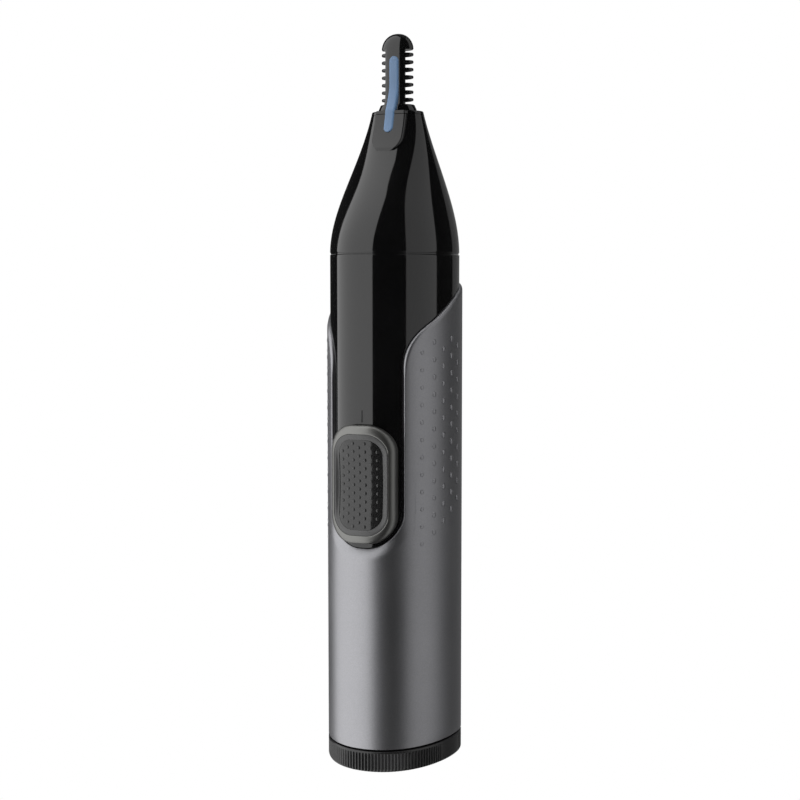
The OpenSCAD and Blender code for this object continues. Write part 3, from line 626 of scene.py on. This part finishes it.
def build_cap():
    """Ribbed cap: its skirt and base, with the hollow spigot that enters the body."""
    height = shell_low[2] - CAP_GAP
    even = np.linspace(0, wall.length, RIB_COUNT // 2 * SAMPLES_PER_RIB + 1)
    phase = 0.5 - 0.5 * np.cos(even / wall.length * RIB_COUNT / 2 * 2 * math.pi)
    side_start, side_end = RIB_REACH, wall.length - RIB_REACH
    on_side = np.clip((even - side_start) / 0.3, 0, 1) * np.clip((side_end - even) / 0.3, 0, 1)
    groove = RIB_DEPTH * phase ** 1.5 * (1 - on_side)
    # Height, inset, and share of the ribs' depth
    skirt = [(0.0, 1.6, 0.0), (0.0, 0.55, 0.0), (0.04, 0.35, 0.2), (0.14, 0.18, 0.5),
             (0.35, 0.05, 1.0), (0.6, 0.0, 1.0), (height * 0.35, 0.0, 1.0),
             (height * 0.65, 0.0, 1.0),
             (height - 0.62, 0.0, 1.0), (height - 0.45, 0.0, 0.6), (height - 0.38, 0.0, 0.0),
             (height - 0.2, 0.0, 0.0), (height - 0.08, 0.06, 0.0), (height, 0.2, 0.0)]
    rows = [row_at(*wall.at(even, inset + groove * amount), z) for z, inset, amount in skirt]
    parts = MeshParts()
    parts.capped_rings(mirrored_columns(np.array(rows)))
    centre_y = (cap_seal_low[1] + cap_seal_high[1]) / 2
    spigot = (cap_seal_high[0] - cap_seal_low[0]) / 2 - 0.08
    # Height and radius, with the seal's groove and the open top
    profile = [(height - 0.2, spigot), (4.75, spigot), (4.8, spigot - 0.5), (5.8, spigot - 0.5),
               (5.85, spigot), (9.2, spigot), (9.4, spigot - 0.08), (9.5, spigot - 0.3),
               (9.5, spigot - 0.8), (9.4, spigot - 1.0), (1.9, spigot - 1.0), (1.6, spigot - 1.3)]
    angles = np.linspace(0, 2 * math.pi, RING_COUNT, endpoint=False)
    parts.capped_rings([row_at(r * np.cos(angles), centre_y + r * np.sin(angles), z)
                        for z, r in profile])
    return make_object("ribbed_cap", parts, CAP_BLACK, 35)


# ------------------------ head

FRONT_POWER = 1.4
LIP_SLOPE = 0.95
HEAD_HALF_WIDTH = HALF_WIDTH - PANEL_INSET
HEAD_FRONT = FRONT - PANEL_INSET
HEAD_BACK = BACK - PANEL_INSET
HEAD_WALL = 1.0
HEAD_QUARTER = 56
FOOT_DROP = 0.24


def blend(z):
    """Share of the way from the lip's outline to the body's at a height."""
    s = np.clip((LIP - z) / (LIP - SEAM), 0, 1)
    return LIP_SLOPE * (s ** 3 - 2 * s * s + s) + 3 * s * s - 2 * s ** 3


def head_sizes(z):
    """Half width, front depth, back depth and curve ratios of the head's outline at a height."""
    p = blend(z)
    return (LIP_WIDTH + (HEAD_HALF_WIDTH - LIP_WIDTH) * p,
            LIP_DEPTH + (HEAD_FRONT - LIP_DEPTH) * p ** FRONT_POWER,
            LIP_DEPTH + (HEAD_BACK - LIP_DEPTH) * p,
            ROUND_RATIOS + (BODY_RATIOS - ROUND_RATIOS) * p)


def head_ring_points(z, inset, count=HEAD_QUARTER):
    """The head's outline at a height, narrowed by an inset."""
    width, front, back, ratios = head_sizes(z)
    return row_at(*closed_section(width - inset, front - inset, back - inset, ratios, count).T, z)


def build_head():
    """Tapered head shell, open below and at its lip."""
    low, high = head_low[2], head_high[2]
    foot = [(-FOOT_DROP, HEAD_WALL), (-FOOT_DROP, 0.12), (0, 0.115), (0, 0.1), (0.02, 0.06),
            (0.06, 0.03), (0.12, 0.0)]
    rings = [head_ring_points(low + lift, inset) for lift, inset in foot]
    for share in np.linspace(0, 1, 90)[1:]:
        rings.append(head_ring_points(low + 0.12 + (high - low - 0.12) * share, 0.0))
    for share in np.linspace(0, 1, 30)[:-1]:
        rings.append(head_ring_points(high + (low - high) * share, HEAD_WALL))
    return closed_object("head_casing", rings, GLOSS_BLACK)


def ellipse_ring(a, b, z, count=RING_COUNT):
    """Level ellipse round the drive axis, from its front."""
    t = np.linspace(0, 2 * math.pi, count, endpoint=False) - math.pi / 2
    return row_at(a * np.cos(t), b * np.sin(t), z)


TONGUE_BOTTOM = tongue_low[2] - 0.15
TONGUE_RISE = 0.34
TONGUE_HALF = tongue_high[0]
TONGUE_CORNER = 3.0
TONGUE_FLATNESS = 0.6


def head_front_y(x, z, rise):
    """y of the head's front at a distance x from the middle, raised by a distance."""
    width, front, back, ratios = head_sizes(z)
    quarter = half_section(width, front, back, ratios, 80)[:81]
    tangent = np.gradient(quarter, axis=0)
    tangent /= np.linalg.norm(tangent, axis=1)[:, None]
    raised = quarter + np.column_stack([tangent[:, 1], -tangent[:, 0]]) * rise
    return np.interp(np.abs(x), raised[:, 0], raised[:, 1])


def lobe_face(x, z):
    """y of the lobe's face, which is flatter than the head under it."""
    front = -head_sizes(z)[1] - TONGUE_RISE
    y = head_front_y(x, z, TONGUE_RISE)
    return y + (front - y) * TONGUE_FLATNESS


def tongue_half_width(z):
    """Half width of the lobe at a height, rounded at its lower corners."""
    h = np.clip(z - TONGUE_BOTTOM, 0, TONGUE_CORNER)
    return TONGUE_HALF - TONGUE_CORNER + math.sqrt(TONGUE_CORNER ** 2 - (TONGUE_CORNER - h) ** 2)


def build_tongue():
    """Raised lobe on the head's front, with rounded lower corners and a soft shoulder."""
    top = tongue_high[2]
    shoulder = 0.35
    foot = 0.85
    sunk = 0.3
    across = np.linspace(-1, 1, 61)
    across = np.sign(across) * (1 - (1 - np.abs(across)) ** 1.5)
    rows, under = [], []
    for z in np.concatenate([TONGUE_BOTTOM + np.linspace(0, 1, 30) ** 2 * 2.5,
                             np.linspace(TONGUE_BOTTOM + 2.6, top, 30)]):
        half = max(tongue_half_width(z), 0.3)
        x = across * half
        from_side = np.clip((half - np.abs(x)) / shoulder, 0, 1)
        share = np.sqrt(1 - (1 - from_side) ** 2) * smooth_step((z - TONGUE_BOTTOM) / foot)
        low = head_front_y(x, z, -0.04)
        y = low + (lobe_face(x, z) - low) * share
        rows.append(row_at(x, y, z))
        under.append(row_at(x, head_front_y(x, z, -sunk), z))
    loops = np.concatenate([np.array(rows), np.array(under)[:, ::-1]], axis=1)
    return capped_object("head_lobe", loops, GLOSS_BLACK)


def build_lip():
    """Thin ring that closes the head round the guard."""
    low, high = ring_low[2], ring_high[2]
    rows = []
    edge = [(low - 0.3, 0.9), (low - 0.3, 0.35), (low, 0.14), (low + 0.03, 0.06), (low + 0.1, 0.0),
            (high - 0.2, 0.0), (high - 0.08, 0.03), (high - 0.02, 0.11), (high, 0.24)]
    for z, inset in edge:
        outline = head_ring_points(z, inset, 60)
        x, y = outline[:, 0], outline[:, 1]
        on_lobe = smooth_step((TONGUE_HALF - inset - np.abs(x)) / 0.3) * (y < 0) * (inset < 0.9)
        outline[:, 1] += (lobe_face(x, z) + inset - y) * on_lobe
        rows.append(outline)
    rows.append(ellipse_ring(2.6, 2.5, high, 240))
    rows.append(ellipse_ring(2.4, 2.4, high - 0.1, 240))
    rows.append(ellipse_ring(2.4, 2.4, low - 0.3, 240))
    return closed_object("lip_ring", rows, GLOSS_BLACK)


# ------------------------ cutter guard

GUARD_HALF_WIDTH = 3.2
GUARD_HALF_DEPTH = 1.8
GUARD_WALL = 0.5
FRONT_RIB_HALF_WIDTH = 2.0
BACK_RIB_HALF_WIDTH = 0.7
TOOTH_COUNT = 7
TOOTH_PITCH = 1.41
TOOTH_THICKNESS = 0.55
TOP_TOOTH = 134.4
DOME_BOTTOM = 135.3
FLARE_TOP = guard_low[2] + 3.2


def flare_at(z, most=math.inf):
    """How far the flare stands out beyond the guard's ellipse at a height.

    The ribs hold it at its full depth (most = 1), and the strip's underside lets it grow."""
    return 0.6 * np.clip((FLARE_TOP - z) / 2.2, 0, most) ** 1.6


def guard_depth(x, half_width, half_depth):
    """Depth of an ellipse at a distance from its middle."""
    return half_depth * np.sqrt(np.clip(1 - (x / half_width) ** 2, 0, 1))


def build_guard_rib(parts, side):
    """Front (side -1) or back (side 1) rib of the guard, which flares into the collar."""
    half = FRONT_RIB_HALF_WIDTH if side < 0 else BACK_RIB_HALF_WIDTH
    x = np.linspace(-half, half, 15)
    rows = []
    for z in np.concatenate([np.linspace(guard_low[2] + 0.9, FLARE_TOP, 10),
                             np.linspace(FLARE_TOP + 0.6, DOME_BOTTOM + 0.3, 10)]):
        outer = guard_depth(x, GUARD_HALF_WIDTH, GUARD_HALF_DEPTH) + flare_at(z, 1)
        inner = guard_depth(x, GUARD_HALF_WIDTH - GUARD_WALL, GUARD_HALF_DEPTH - GUARD_WALL)
        edge = 0.1 * (np.abs(x) > half - 0.05)
        rows.append(np.concatenate([row_at(x, side * (outer - edge), z),
                                    row_at(x[::-1], side * inner[::-1], z)]))
    parts.capped_rings(rows)


def build_guard_teeth(parts):
    """Curved teeth that join the two ribs round each side."""
    angles = np.linspace(math.asin((FRONT_RIB_HALF_WIDTH - 0.3) / GUARD_HALF_WIDTH),
                         math.pi - math.asin((BACK_RIB_HALF_WIDTH - 0.3) / GUARD_HALF_WIDTH), 44)
    section = np.linspace(0, 2 * math.pi, 12, endpoint=False)
    for side in (1, -1):
        for i in range(TOOTH_COUNT):
            z = TOP_TOOTH - i * TOOTH_PITCH
            rings = []
            for a in angles:
                ring = []
                for b in section:
                    reach = np.sign(math.cos(b)) * abs(math.cos(b)) ** 0.7 * GUARD_WALL / 2
                    lift = np.sign(math.sin(b)) * abs(math.sin(b)) ** 0.7 * TOOTH_THICKNESS / 2
                    mid_a = GUARD_HALF_WIDTH - GUARD_WALL / 2 + reach
                    mid_b = GUARD_HALF_DEPTH - GUARD_WALL / 2 + reach
                    ring.append([side * mid_a * math.sin(a), -mid_b * math.cos(a), z + lift])
                rings.append(ring)
            parts.capped_rings(rings)


def build_guard():
    """Slotted guard: collar, two ribs, teeth and the round end."""
    parts = MeshParts()
    low = guard_low[2]
    # Height, half width and half depth
    collar = [(low, 3.3, 2.3), (low, 3.72, 2.62), (low + 0.04, 3.8, 2.7), (low + 0.35, 3.74, 2.66),
              (low + 0.85, 3.5, 2.52), (low + 1.05, 3.42, 2.46), (low + 1.16, 3.32, 2.38),
              (low + 1.2, 3.15, 2.25), (low + 1.2, 1.3, 1.3), (low + 0.6, 1.2, 1.2),
              (low, 1.2, 1.2)]
    parts.grid(np.array([ellipse_ring(a, b, z) for z, a, b in collar]),
               close_rows=True, close_columns=True)
    for side in (-1, 1):
        build_guard_rib(parts, side)
    build_guard_teeth(parts)
    rise = TOP - DOME_BOTTOM
    rings = [ellipse_ring(GUARD_HALF_WIDTH - 0.7, GUARD_HALF_DEPTH - 0.7, DOME_BOTTOM),
             ellipse_ring(GUARD_HALF_WIDTH - 0.12, GUARD_HALF_DEPTH - 0.12, DOME_BOTTOM)]
    for a in np.linspace(0.06, math.pi / 2, 26):
        k = math.cos(a) ** 0.92 if a < math.pi / 2 - 0.001 else 0.004
        rings.append(ellipse_ring(GUARD_HALF_WIDTH * k, GUARD_HALF_DEPTH * k,
                                  DOME_BOTTOM + 0.02 + (rise - 0.02) * math.sin(a)))
    parts.capped_rings(rings)
    return make_object("guard_comb", parts, GLOSS_BLACK)


def round_end(half, from_end, least):
    """Half width of a round-ended bar at a distance from its end."""
    if from_end >= half:
        return half
    return math.sqrt(max(half ** 2 - (half - from_end) ** 2, least ** 2))


STRIP_WIDTH = 1.9
RAMP_TOP = 128.8
STRIP_SMOOTHING = 20
# Across the strip: share of its half width, and lift over the surface
STRIP_FACE = [(-1, 0.05), (-0.93, 0.14), (-0.8, 0.185), (-0.5, 0.2), (0, 0.2), (0.5, 0.2),
              (0.8, 0.185), (0.93, 0.14), (1, 0.05)]


def build_strip():
    """Coloured strip with round ends that runs down the guard and onto the head's lobe."""
    top = strip_high[2]
    bottom = strip_low[2]

    def surface(z):
        """Distance of the surface under the strip from the drive axis."""
        on_guard = GUARD_HALF_DEPTH - 0.03
        on_head = head_sizes(min(z, LIP - 0.1))[1] + TONGUE_RISE - 0.02
        share = np.clip((z - LIP + 0.1) / (RAMP_TOP - LIP + 0.1), 0, 1)
        return on_guard + (on_head - on_guard) * (1 - share) ** 1.5

    heights = np.linspace(bottom, top, 260)
    line = np.array([[surface(z), z] for z in heights])
    for _ in range(STRIP_SMOOTHING):
        line[1:-1, 0] = (line[:-2, 0] + 2 * line[1:-1, 0] + line[2:, 0]) / 4
    step = np.concatenate([[0], np.cumsum(np.linalg.norm(np.diff(line, axis=0), axis=1))])
    half = STRIP_WIDTH / 2
    ends = np.linspace(0, 1, 14) ** 2 * half
    middle = np.linspace(half, step[-1] - half, 90)[1:-1]
    places = np.concatenate([ends, middle, step[-1] - ends[::-1]])
    rows = []
    for s in places:
        n = np.interp(s, step, line[:, 0])
        z = np.interp(s, step, line[:, 1])
        ahead, behind = s + 0.1, s - 0.1
        tangent = np.array([np.interp(ahead, step, line[:, i]) - np.interp(behind, step, line[:, i])
                            for i in (0, 1)])
        tangent /= np.linalg.norm(tangent)
        out = np.array([tangent[1], -tangent[0]])
        from_end = min(s, step[-1] - s)
        width = round_end(half, from_end, 0.02)
        under = 0.25 + max(n - GUARD_HALF_DEPTH - flare_at(z), 0) * (z > LIP)
        ring = []
        for u, h in [(-1, -under), *STRIP_FACE, (1, -under)]:
            lift = h - 0.05 * u ** 2 * (width / half)
            ring.append([u * width, -(n + out[0] * lift), z + out[1] * lift])
        rows.append(ring)
    return capped_object("blue_strip", rows, STRIP_BLUE)


# ------------------------ switch button

FACE_INSET = 1.0
END_SQUEEZE = 0.6
BUTTON_CORNER = 5.0
BUTTON_RISE = 1.42
BUTTON_MIDDLE = (button_low[2] + button_high[2]) / 2
PAD_INSET = button_high[0] - pad_high[0]
DISH_DEPTH = 0.65


def button_loop(inset, count=40):
    """Outline of the button narrowed by an inset, and by more above and below than at its sides."""
    half = button_high[0] - inset
    squeeze = END_SQUEEZE * min(inset / FACE_INSET, 1)
    low = button_low[2] + inset + squeeze
    high = button_high[2] - inset - squeeze
    radius = BUTTON_CORNER - inset
    # Centre, radius and first angle of each
    corners = [(half - radius, low + radius, radius, -90),
               (half - radius, high - radius, radius, 0),
               (radius - half, high - radius, radius, 90),
               (radius - half, low + radius, radius, 180)]
    points = []
    for i, (x, z, r, start) in enumerate(corners):
        for a in np.radians(np.linspace(start, start + 90, count)):
            points.append([x + r * math.cos(a), z + r * math.sin(a)])
        nx, nz, nr, nstart = corners[(i + 1) % 4]
        first = np.array(points[-1])
        turn = math.radians(nstart)
        second = np.array([nx + nr * math.cos(turn), nz + nr * math.sin(turn)])
        for share in np.linspace(0, 1, count // 2 + 1)[1:-1]:
            points.append(list(first + (second - first) * share))
    return np.array(points)


def dish(z):
    """Depth of the finger dish at a height over the button's middle, deepest there."""
    reach = (button_high[2] - button_low[2]) / 2 - PAD_INSET
    return DISH_DEPTH * np.clip(1 - (np.abs(z) / reach) ** 2, 0, 1)


def button_ring(inset, rise, dished=0):
    """The button's outline narrowed by an inset and raised, then sunk by a share of the dish."""
    x, z = button_loop(inset).T
    return np.column_stack([x, wall.front_y(x, rise) + dished * dish(z - BUTTON_MIDDLE), z])


def build_button():
    """Sliding button: side wall and rounded bezel."""
    # Inset and rise
    profile = [(0.9, -0.24), (0.12, -0.24), (0.03, -0.17), (0.0, 0.0), (0.0, 0.6), (0.02, 0.82),
               (0.08, 1.0), (0.18, 1.15), (0.32, 1.27), (0.5, 1.36), (0.7, 1.41),
               (0.85, BUTTON_RISE),
               (FACE_INSET - 0.05, BUTTON_RISE - 0.01), (FACE_INSET, BUTTON_RISE - 0.06),
               (FACE_INSET, 0.6), (1.9, 0.4)]
    rings = [button_ring(inset, rise) for inset, rise in profile]
    return closed_object("button_bezel", rings, BUTTON_GREY)


def build_button_face():
    """Darker face inside the bezel, which sinks towards the seat of the dotted pad."""
    gap = 0.02
    rise = BUTTON_RISE - 0.07
    rings = [button_ring(2.3, 0.3), button_ring(FACE_INSET + gap, 0.4),
             button_ring(FACE_INSET + gap, rise - 0.08),
             button_ring(FACE_INSET + gap + 0.04, rise - 0.02)]
    for share in np.linspace(0, 1, 12):
        inset = FACE_INSET + gap + 0.1 + (PAD_INSET - 0.03 - FACE_INSET - gap - 0.1) * share
        rings.append(button_ring(inset, rise - 0.02 * share, smooth_step(share)))
    rings += [button_ring(PAD_INSET, rise - 0.04, 1), button_ring(PAD_INSET + 0.01, rise - 0.25, 1),
              button_ring(PAD_INSET + 0.6, 0.3)]
    return closed_object("button_face", rings, FACE_GREY)


DOT_COLUMN = 1.17
DOT_PITCH = 1.54
DOT_RADIUS = 0.34
OUTER_COLUMN = 3
NUDGE = 0.05  # step over which the pad's slope is measured


def pad_ends(inset):
    """Lowest and highest point of the pad narrowed by an inset."""
    return button_low[2] + inset + END_SQUEEZE, button_high[2] - inset - END_SQUEEZE


def pad_half_width(z, inset):
    """Half width of the pad at a height, rounded at its ends like the button."""
    low, high = pad_ends(inset)
    radius = BUTTON_CORNER - inset
    from_end = np.clip(min(z - low, high - z), 0, radius)
    return button_high[0] - inset - radius + math.sqrt(radius ** 2 - (radius - from_end) ** 2)


def pad_surface(x, z):
    """y of the pad's face at a height over the button's middle."""
    return wall.front_y(x, BUTTON_RISE - 0.11) + dish(z)


def build_pad():
    """Dished gloss pad with staggered round dots."""
    inset = PAD_INSET + 0.02
    low, high = pad_ends(inset)
    across = np.linspace(-1, 1, 41)
    rows = []
    for share in (1 - np.cos(np.linspace(0, math.pi, 90))) / 2:
        z = low + (high - low) * share
        half = pad_half_width(z, inset)
        x = across * half
        surface = pad_surface(x, z - BUTTON_MIDDLE)
        edge = 0.04 * np.clip(1 - (half - np.abs(x)) / 0.06, 0, 1)
        rows.append(np.concatenate([row_at(x, surface + edge, z),
                                    row_at(x[::-1], surface[::-1] + 0.4, z)]))
    parts = MeshParts()
    parts.capped_rings(rows)
    for column in range(-OUTER_COLUMN, OUTER_COLUMN + 1):
        x = column * DOT_COLUMN
        staggered = column % 2 == 0
        places = np.arange(-4.5, 5) if staggered else np.arange(-5, 6)
        if abs(column) == OUTER_COLUMN:
            places = places[1:-1]
        for z in places * DOT_PITCH:
            y = pad_surface(x, z)
            normal = np.array([(pad_surface(x + NUDGE, z) - y) / NUDGE, -1.0,
                               (pad_surface(x, z + NUDGE) - y) / NUDGE])
            normal /= np.linalg.norm(normal)
            up = np.array([0, 0, 1.0]) - normal * normal[2]
            up /= np.linalg.norm(up)
            centre = np.array([x, y + 0.01, BUTTON_MIDDLE + z])
            parts.grid(dome(centre, normal, up, DOT_RADIUS, 0.16, 4, 14), close_columns=True)
    return make_object("button_pad", parts, PAD_BLACK, 60)


TICK_LOW = 65.6
TICK_HIGH = 67.9
TICK_HALF_WIDTH = 0.17


def build_tick():
    """Small upright mark on the panel above the button."""
    ends = np.linspace(0, 1, 8) ** 2 * TICK_HALF_WIDTH
    straight = np.linspace(TICK_LOW + TICK_HALF_WIDTH, TICK_HIGH - TICK_HALF_WIDTH, 6)[1:-1]
    rows = []
    for z in np.concatenate([TICK_LOW + ends, straight, TICK_HIGH - ends[::-1]]):
        width = round_end(TICK_HALF_WIDTH, min(z - TICK_LOW, TICK_HIGH - z), 0.01)
        x = np.linspace(-width, width, 5)
        front = row_at(x, wall.front_y(x, 0.015 - PANEL_INSET), z)
        back = row_at(x[::-1], wall.front_y(x[::-1], -0.15 - PANEL_INSET), z)
        rows.append(np.concatenate([front, back]))
    return capped_object("tick_mark", rows, MARK_BLACK)


# ------------------------ pieces onto bodies

def place(piece, body, node, slot):
    """Rides a piece on a body, in place of a CAD node if one is named."""
    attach(piece, body)
    if node:
        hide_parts(node)


dress_cad_nodes()
place(build_sleeve(), "body", "outer_shell", "sleeve_grey")
place(build_bumps(), "body", "grip_bumps", "sleeve_grey")
place(build_housing(), "body", "inner_housing", "black_gloss")
place(build_tick(), "body", None, "black_gloss")
place(build_cap(), "cap", "battery_cap", "cap_black")
place(build_head(), "head", "head_shell", "black_gloss")
place(build_lip(), "head", "head_ring", "black_gloss")
place(build_tongue(), "head", "head_tongue", "black_gloss")
place(build_guard(), "head", "cutter_guard", "black_gloss")
place(build_strip(), "head", "guide_strip", "strip_blue")
place(build_button(), "switch", "switch_button", "button_silver")
place(build_button_face(), "switch", None, "pad_grey")
place(build_pad(), "switch", "switch_pad", "pad_grey")


# ------------------------ floor, light and camera

FLOOR_RADIUS = 0.42
FLOOR_CORNERS = 95
OVERHEAD_HEIGHT = 1.3
SOFTBOX_DISTANCE = 0.30
SOFTBOX_LOW = -0.4
SOFTBOX_HIGH = 0.85


def build_floor():
    """Pale floor that lights the object from below and stays out of sight."""
    mesh = bpy.data.meshes.new("floor")
    angles = np.linspace(0, 2 * math.pi, FLOOR_CORNERS + 1)[:-1]
    corners = [(FLOOR_RADIUS * math.cos(a), FLOOR_RADIUS * math.sin(a), 0) for a in angles]
    mesh.from_pydata(corners, [], [tuple(range(len(corners)))])
    obj = bpy.data.objects.new("floor", mesh)
    bpy.context.collection.objects.link(obj)
    material, _, shader = new_material("floor_white")
    shader.inputs["Base Color"].default_value = (0.93, 0.93, 0.93, 1)
    shader.inputs["Roughness"].default_value = 0.9
    shader.inputs["Specular IOR Level"].default_value = 0.1
    mesh.materials.append(material)
    obj.visible_glossy = False
    obj.visible_shadow = False
    # So that the cap and cell stay in view when they are drawn out below it
    obj.visible_camera = False


def add_overhead(name, size, radiance, reflected=False):
    """Level round light over the object, with or without a reflection of its own."""
    light = bpy.data.lights.new(name, "AREA")
    light.shape = "DISK"
    light.size = size
    light.energy = radiance * math.pi * math.pi * size * size / 4
    obj = bpy.data.objects.new(name, light)
    obj.location = (0, 0, OVERHEAD_HEIGHT)
    obj.visible_camera = False
    obj.visible_glossy = reflected
    bpy.context.collection.objects.link(obj)


def add_softbox(name, azimuth_from, azimuth_to, radiance):
    """Upright rectangular light between two directions round the object, facing the drive axis."""
    ends = [np.array([SOFTBOX_DISTANCE * math.sin(a), -SOFTBOX_DISTANCE * math.cos(a)])
            for a in (math.radians(azimuth_from), math.radians(azimuth_to))]
    middle = (ends[0] + ends[1]) / 2
    width = float(np.linalg.norm(ends[1] - ends[0]))
    light = bpy.data.lights.new(name, "AREA")
    light.shape = "RECTANGLE"
    light.size = width
    light.size_y = SOFTBOX_HIGH - SOFTBOX_LOW
    light.energy = radiance * math.pi * width * (SOFTBOX_HIGH - SOFTBOX_LOW)
    obj = bpy.data.objects.new(name, light)
    obj.location = (middle[0], middle[1], (SOFTBOX_LOW + SOFTBOX_HIGH) / 2)
    facing = Vector((-middle[0], -middle[1], 0))
    obj.rotation_euler = facing.to_track_quat("-Z", "Y").to_euler()
    obj.visible_camera = False
    bpy.context.collection.objects.link(obj)


def build_world():
    """White behind the object, dim all round for what the gloss reflects."""
    world = bpy.data.worlds.new("studio")
    bpy.context.scene.world = world
    world.use_nodes = True
    tree = world.node_tree
    tree.nodes.clear()
    path = tree.nodes.new("ShaderNodeLightPath")
    seen = tree.nodes.new("ShaderNodeBackground")
    seen.inputs["Color"].default_value = (1, 1, 1, 1)
    around = tree.nodes.new("ShaderNodeBackground")
    around.inputs["Color"].default_value = (0.02, 0.02, 0.02, 1)
    mix = tree.nodes.new("ShaderNodeMixShader")
    out = tree.nodes.new("ShaderNodeOutputWorld")
    tree.links.new(path.outputs["Is Camera Ray"], mix.inputs["Fac"])
    tree.links.new(around.outputs["Background"], mix.inputs[1])
    tree.links.new(seen.outputs["Background"], mix.inputs[2])
    tree.links.new(mix.outputs["Shader"], out.inputs["Surface"])


def build_camera():
    """Camera in front and to the right, pitched down a little, with no lens shift."""
    azimuth = math.radians(23.25)
    pitch = math.radians(4.7)
    distance = 0.288
    height = 0.0922
    camera = bpy.data.cameras.new("camera")
    camera.lens = 67.0
    camera.sensor_width = 36
    obj = bpy.data.objects.new("camera", camera)
    obj.location = (distance * math.sin(azimuth), -distance * math.cos(azimuth), height)
    aim_right = 0.00045
    aim = Vector((aim_right * math.cos(azimuth), aim_right * math.sin(azimuth),
                  height - distance * math.tan(pitch)))
    look = aim - obj.location
    obj.rotation_euler = look.to_track_quat("-Z", "Y").to_euler()
    bpy.context.collection.objects.link(obj)
    bpy.context.scene.camera = obj


build_floor()
build_world()
add_softbox("left_softbox", 0, -98, 1.87)
add_softbox("right_softbox", 70, 121, 0.78)
add_softbox("back_softbox", 150, 215, 0.22)
add_overhead("overhead", 1.6, 3.8)
add_overhead("high_spot", 0.62, 9.0, True)
build_camera()
bpy.context.scene.view_settings.view_transform = "Standard"
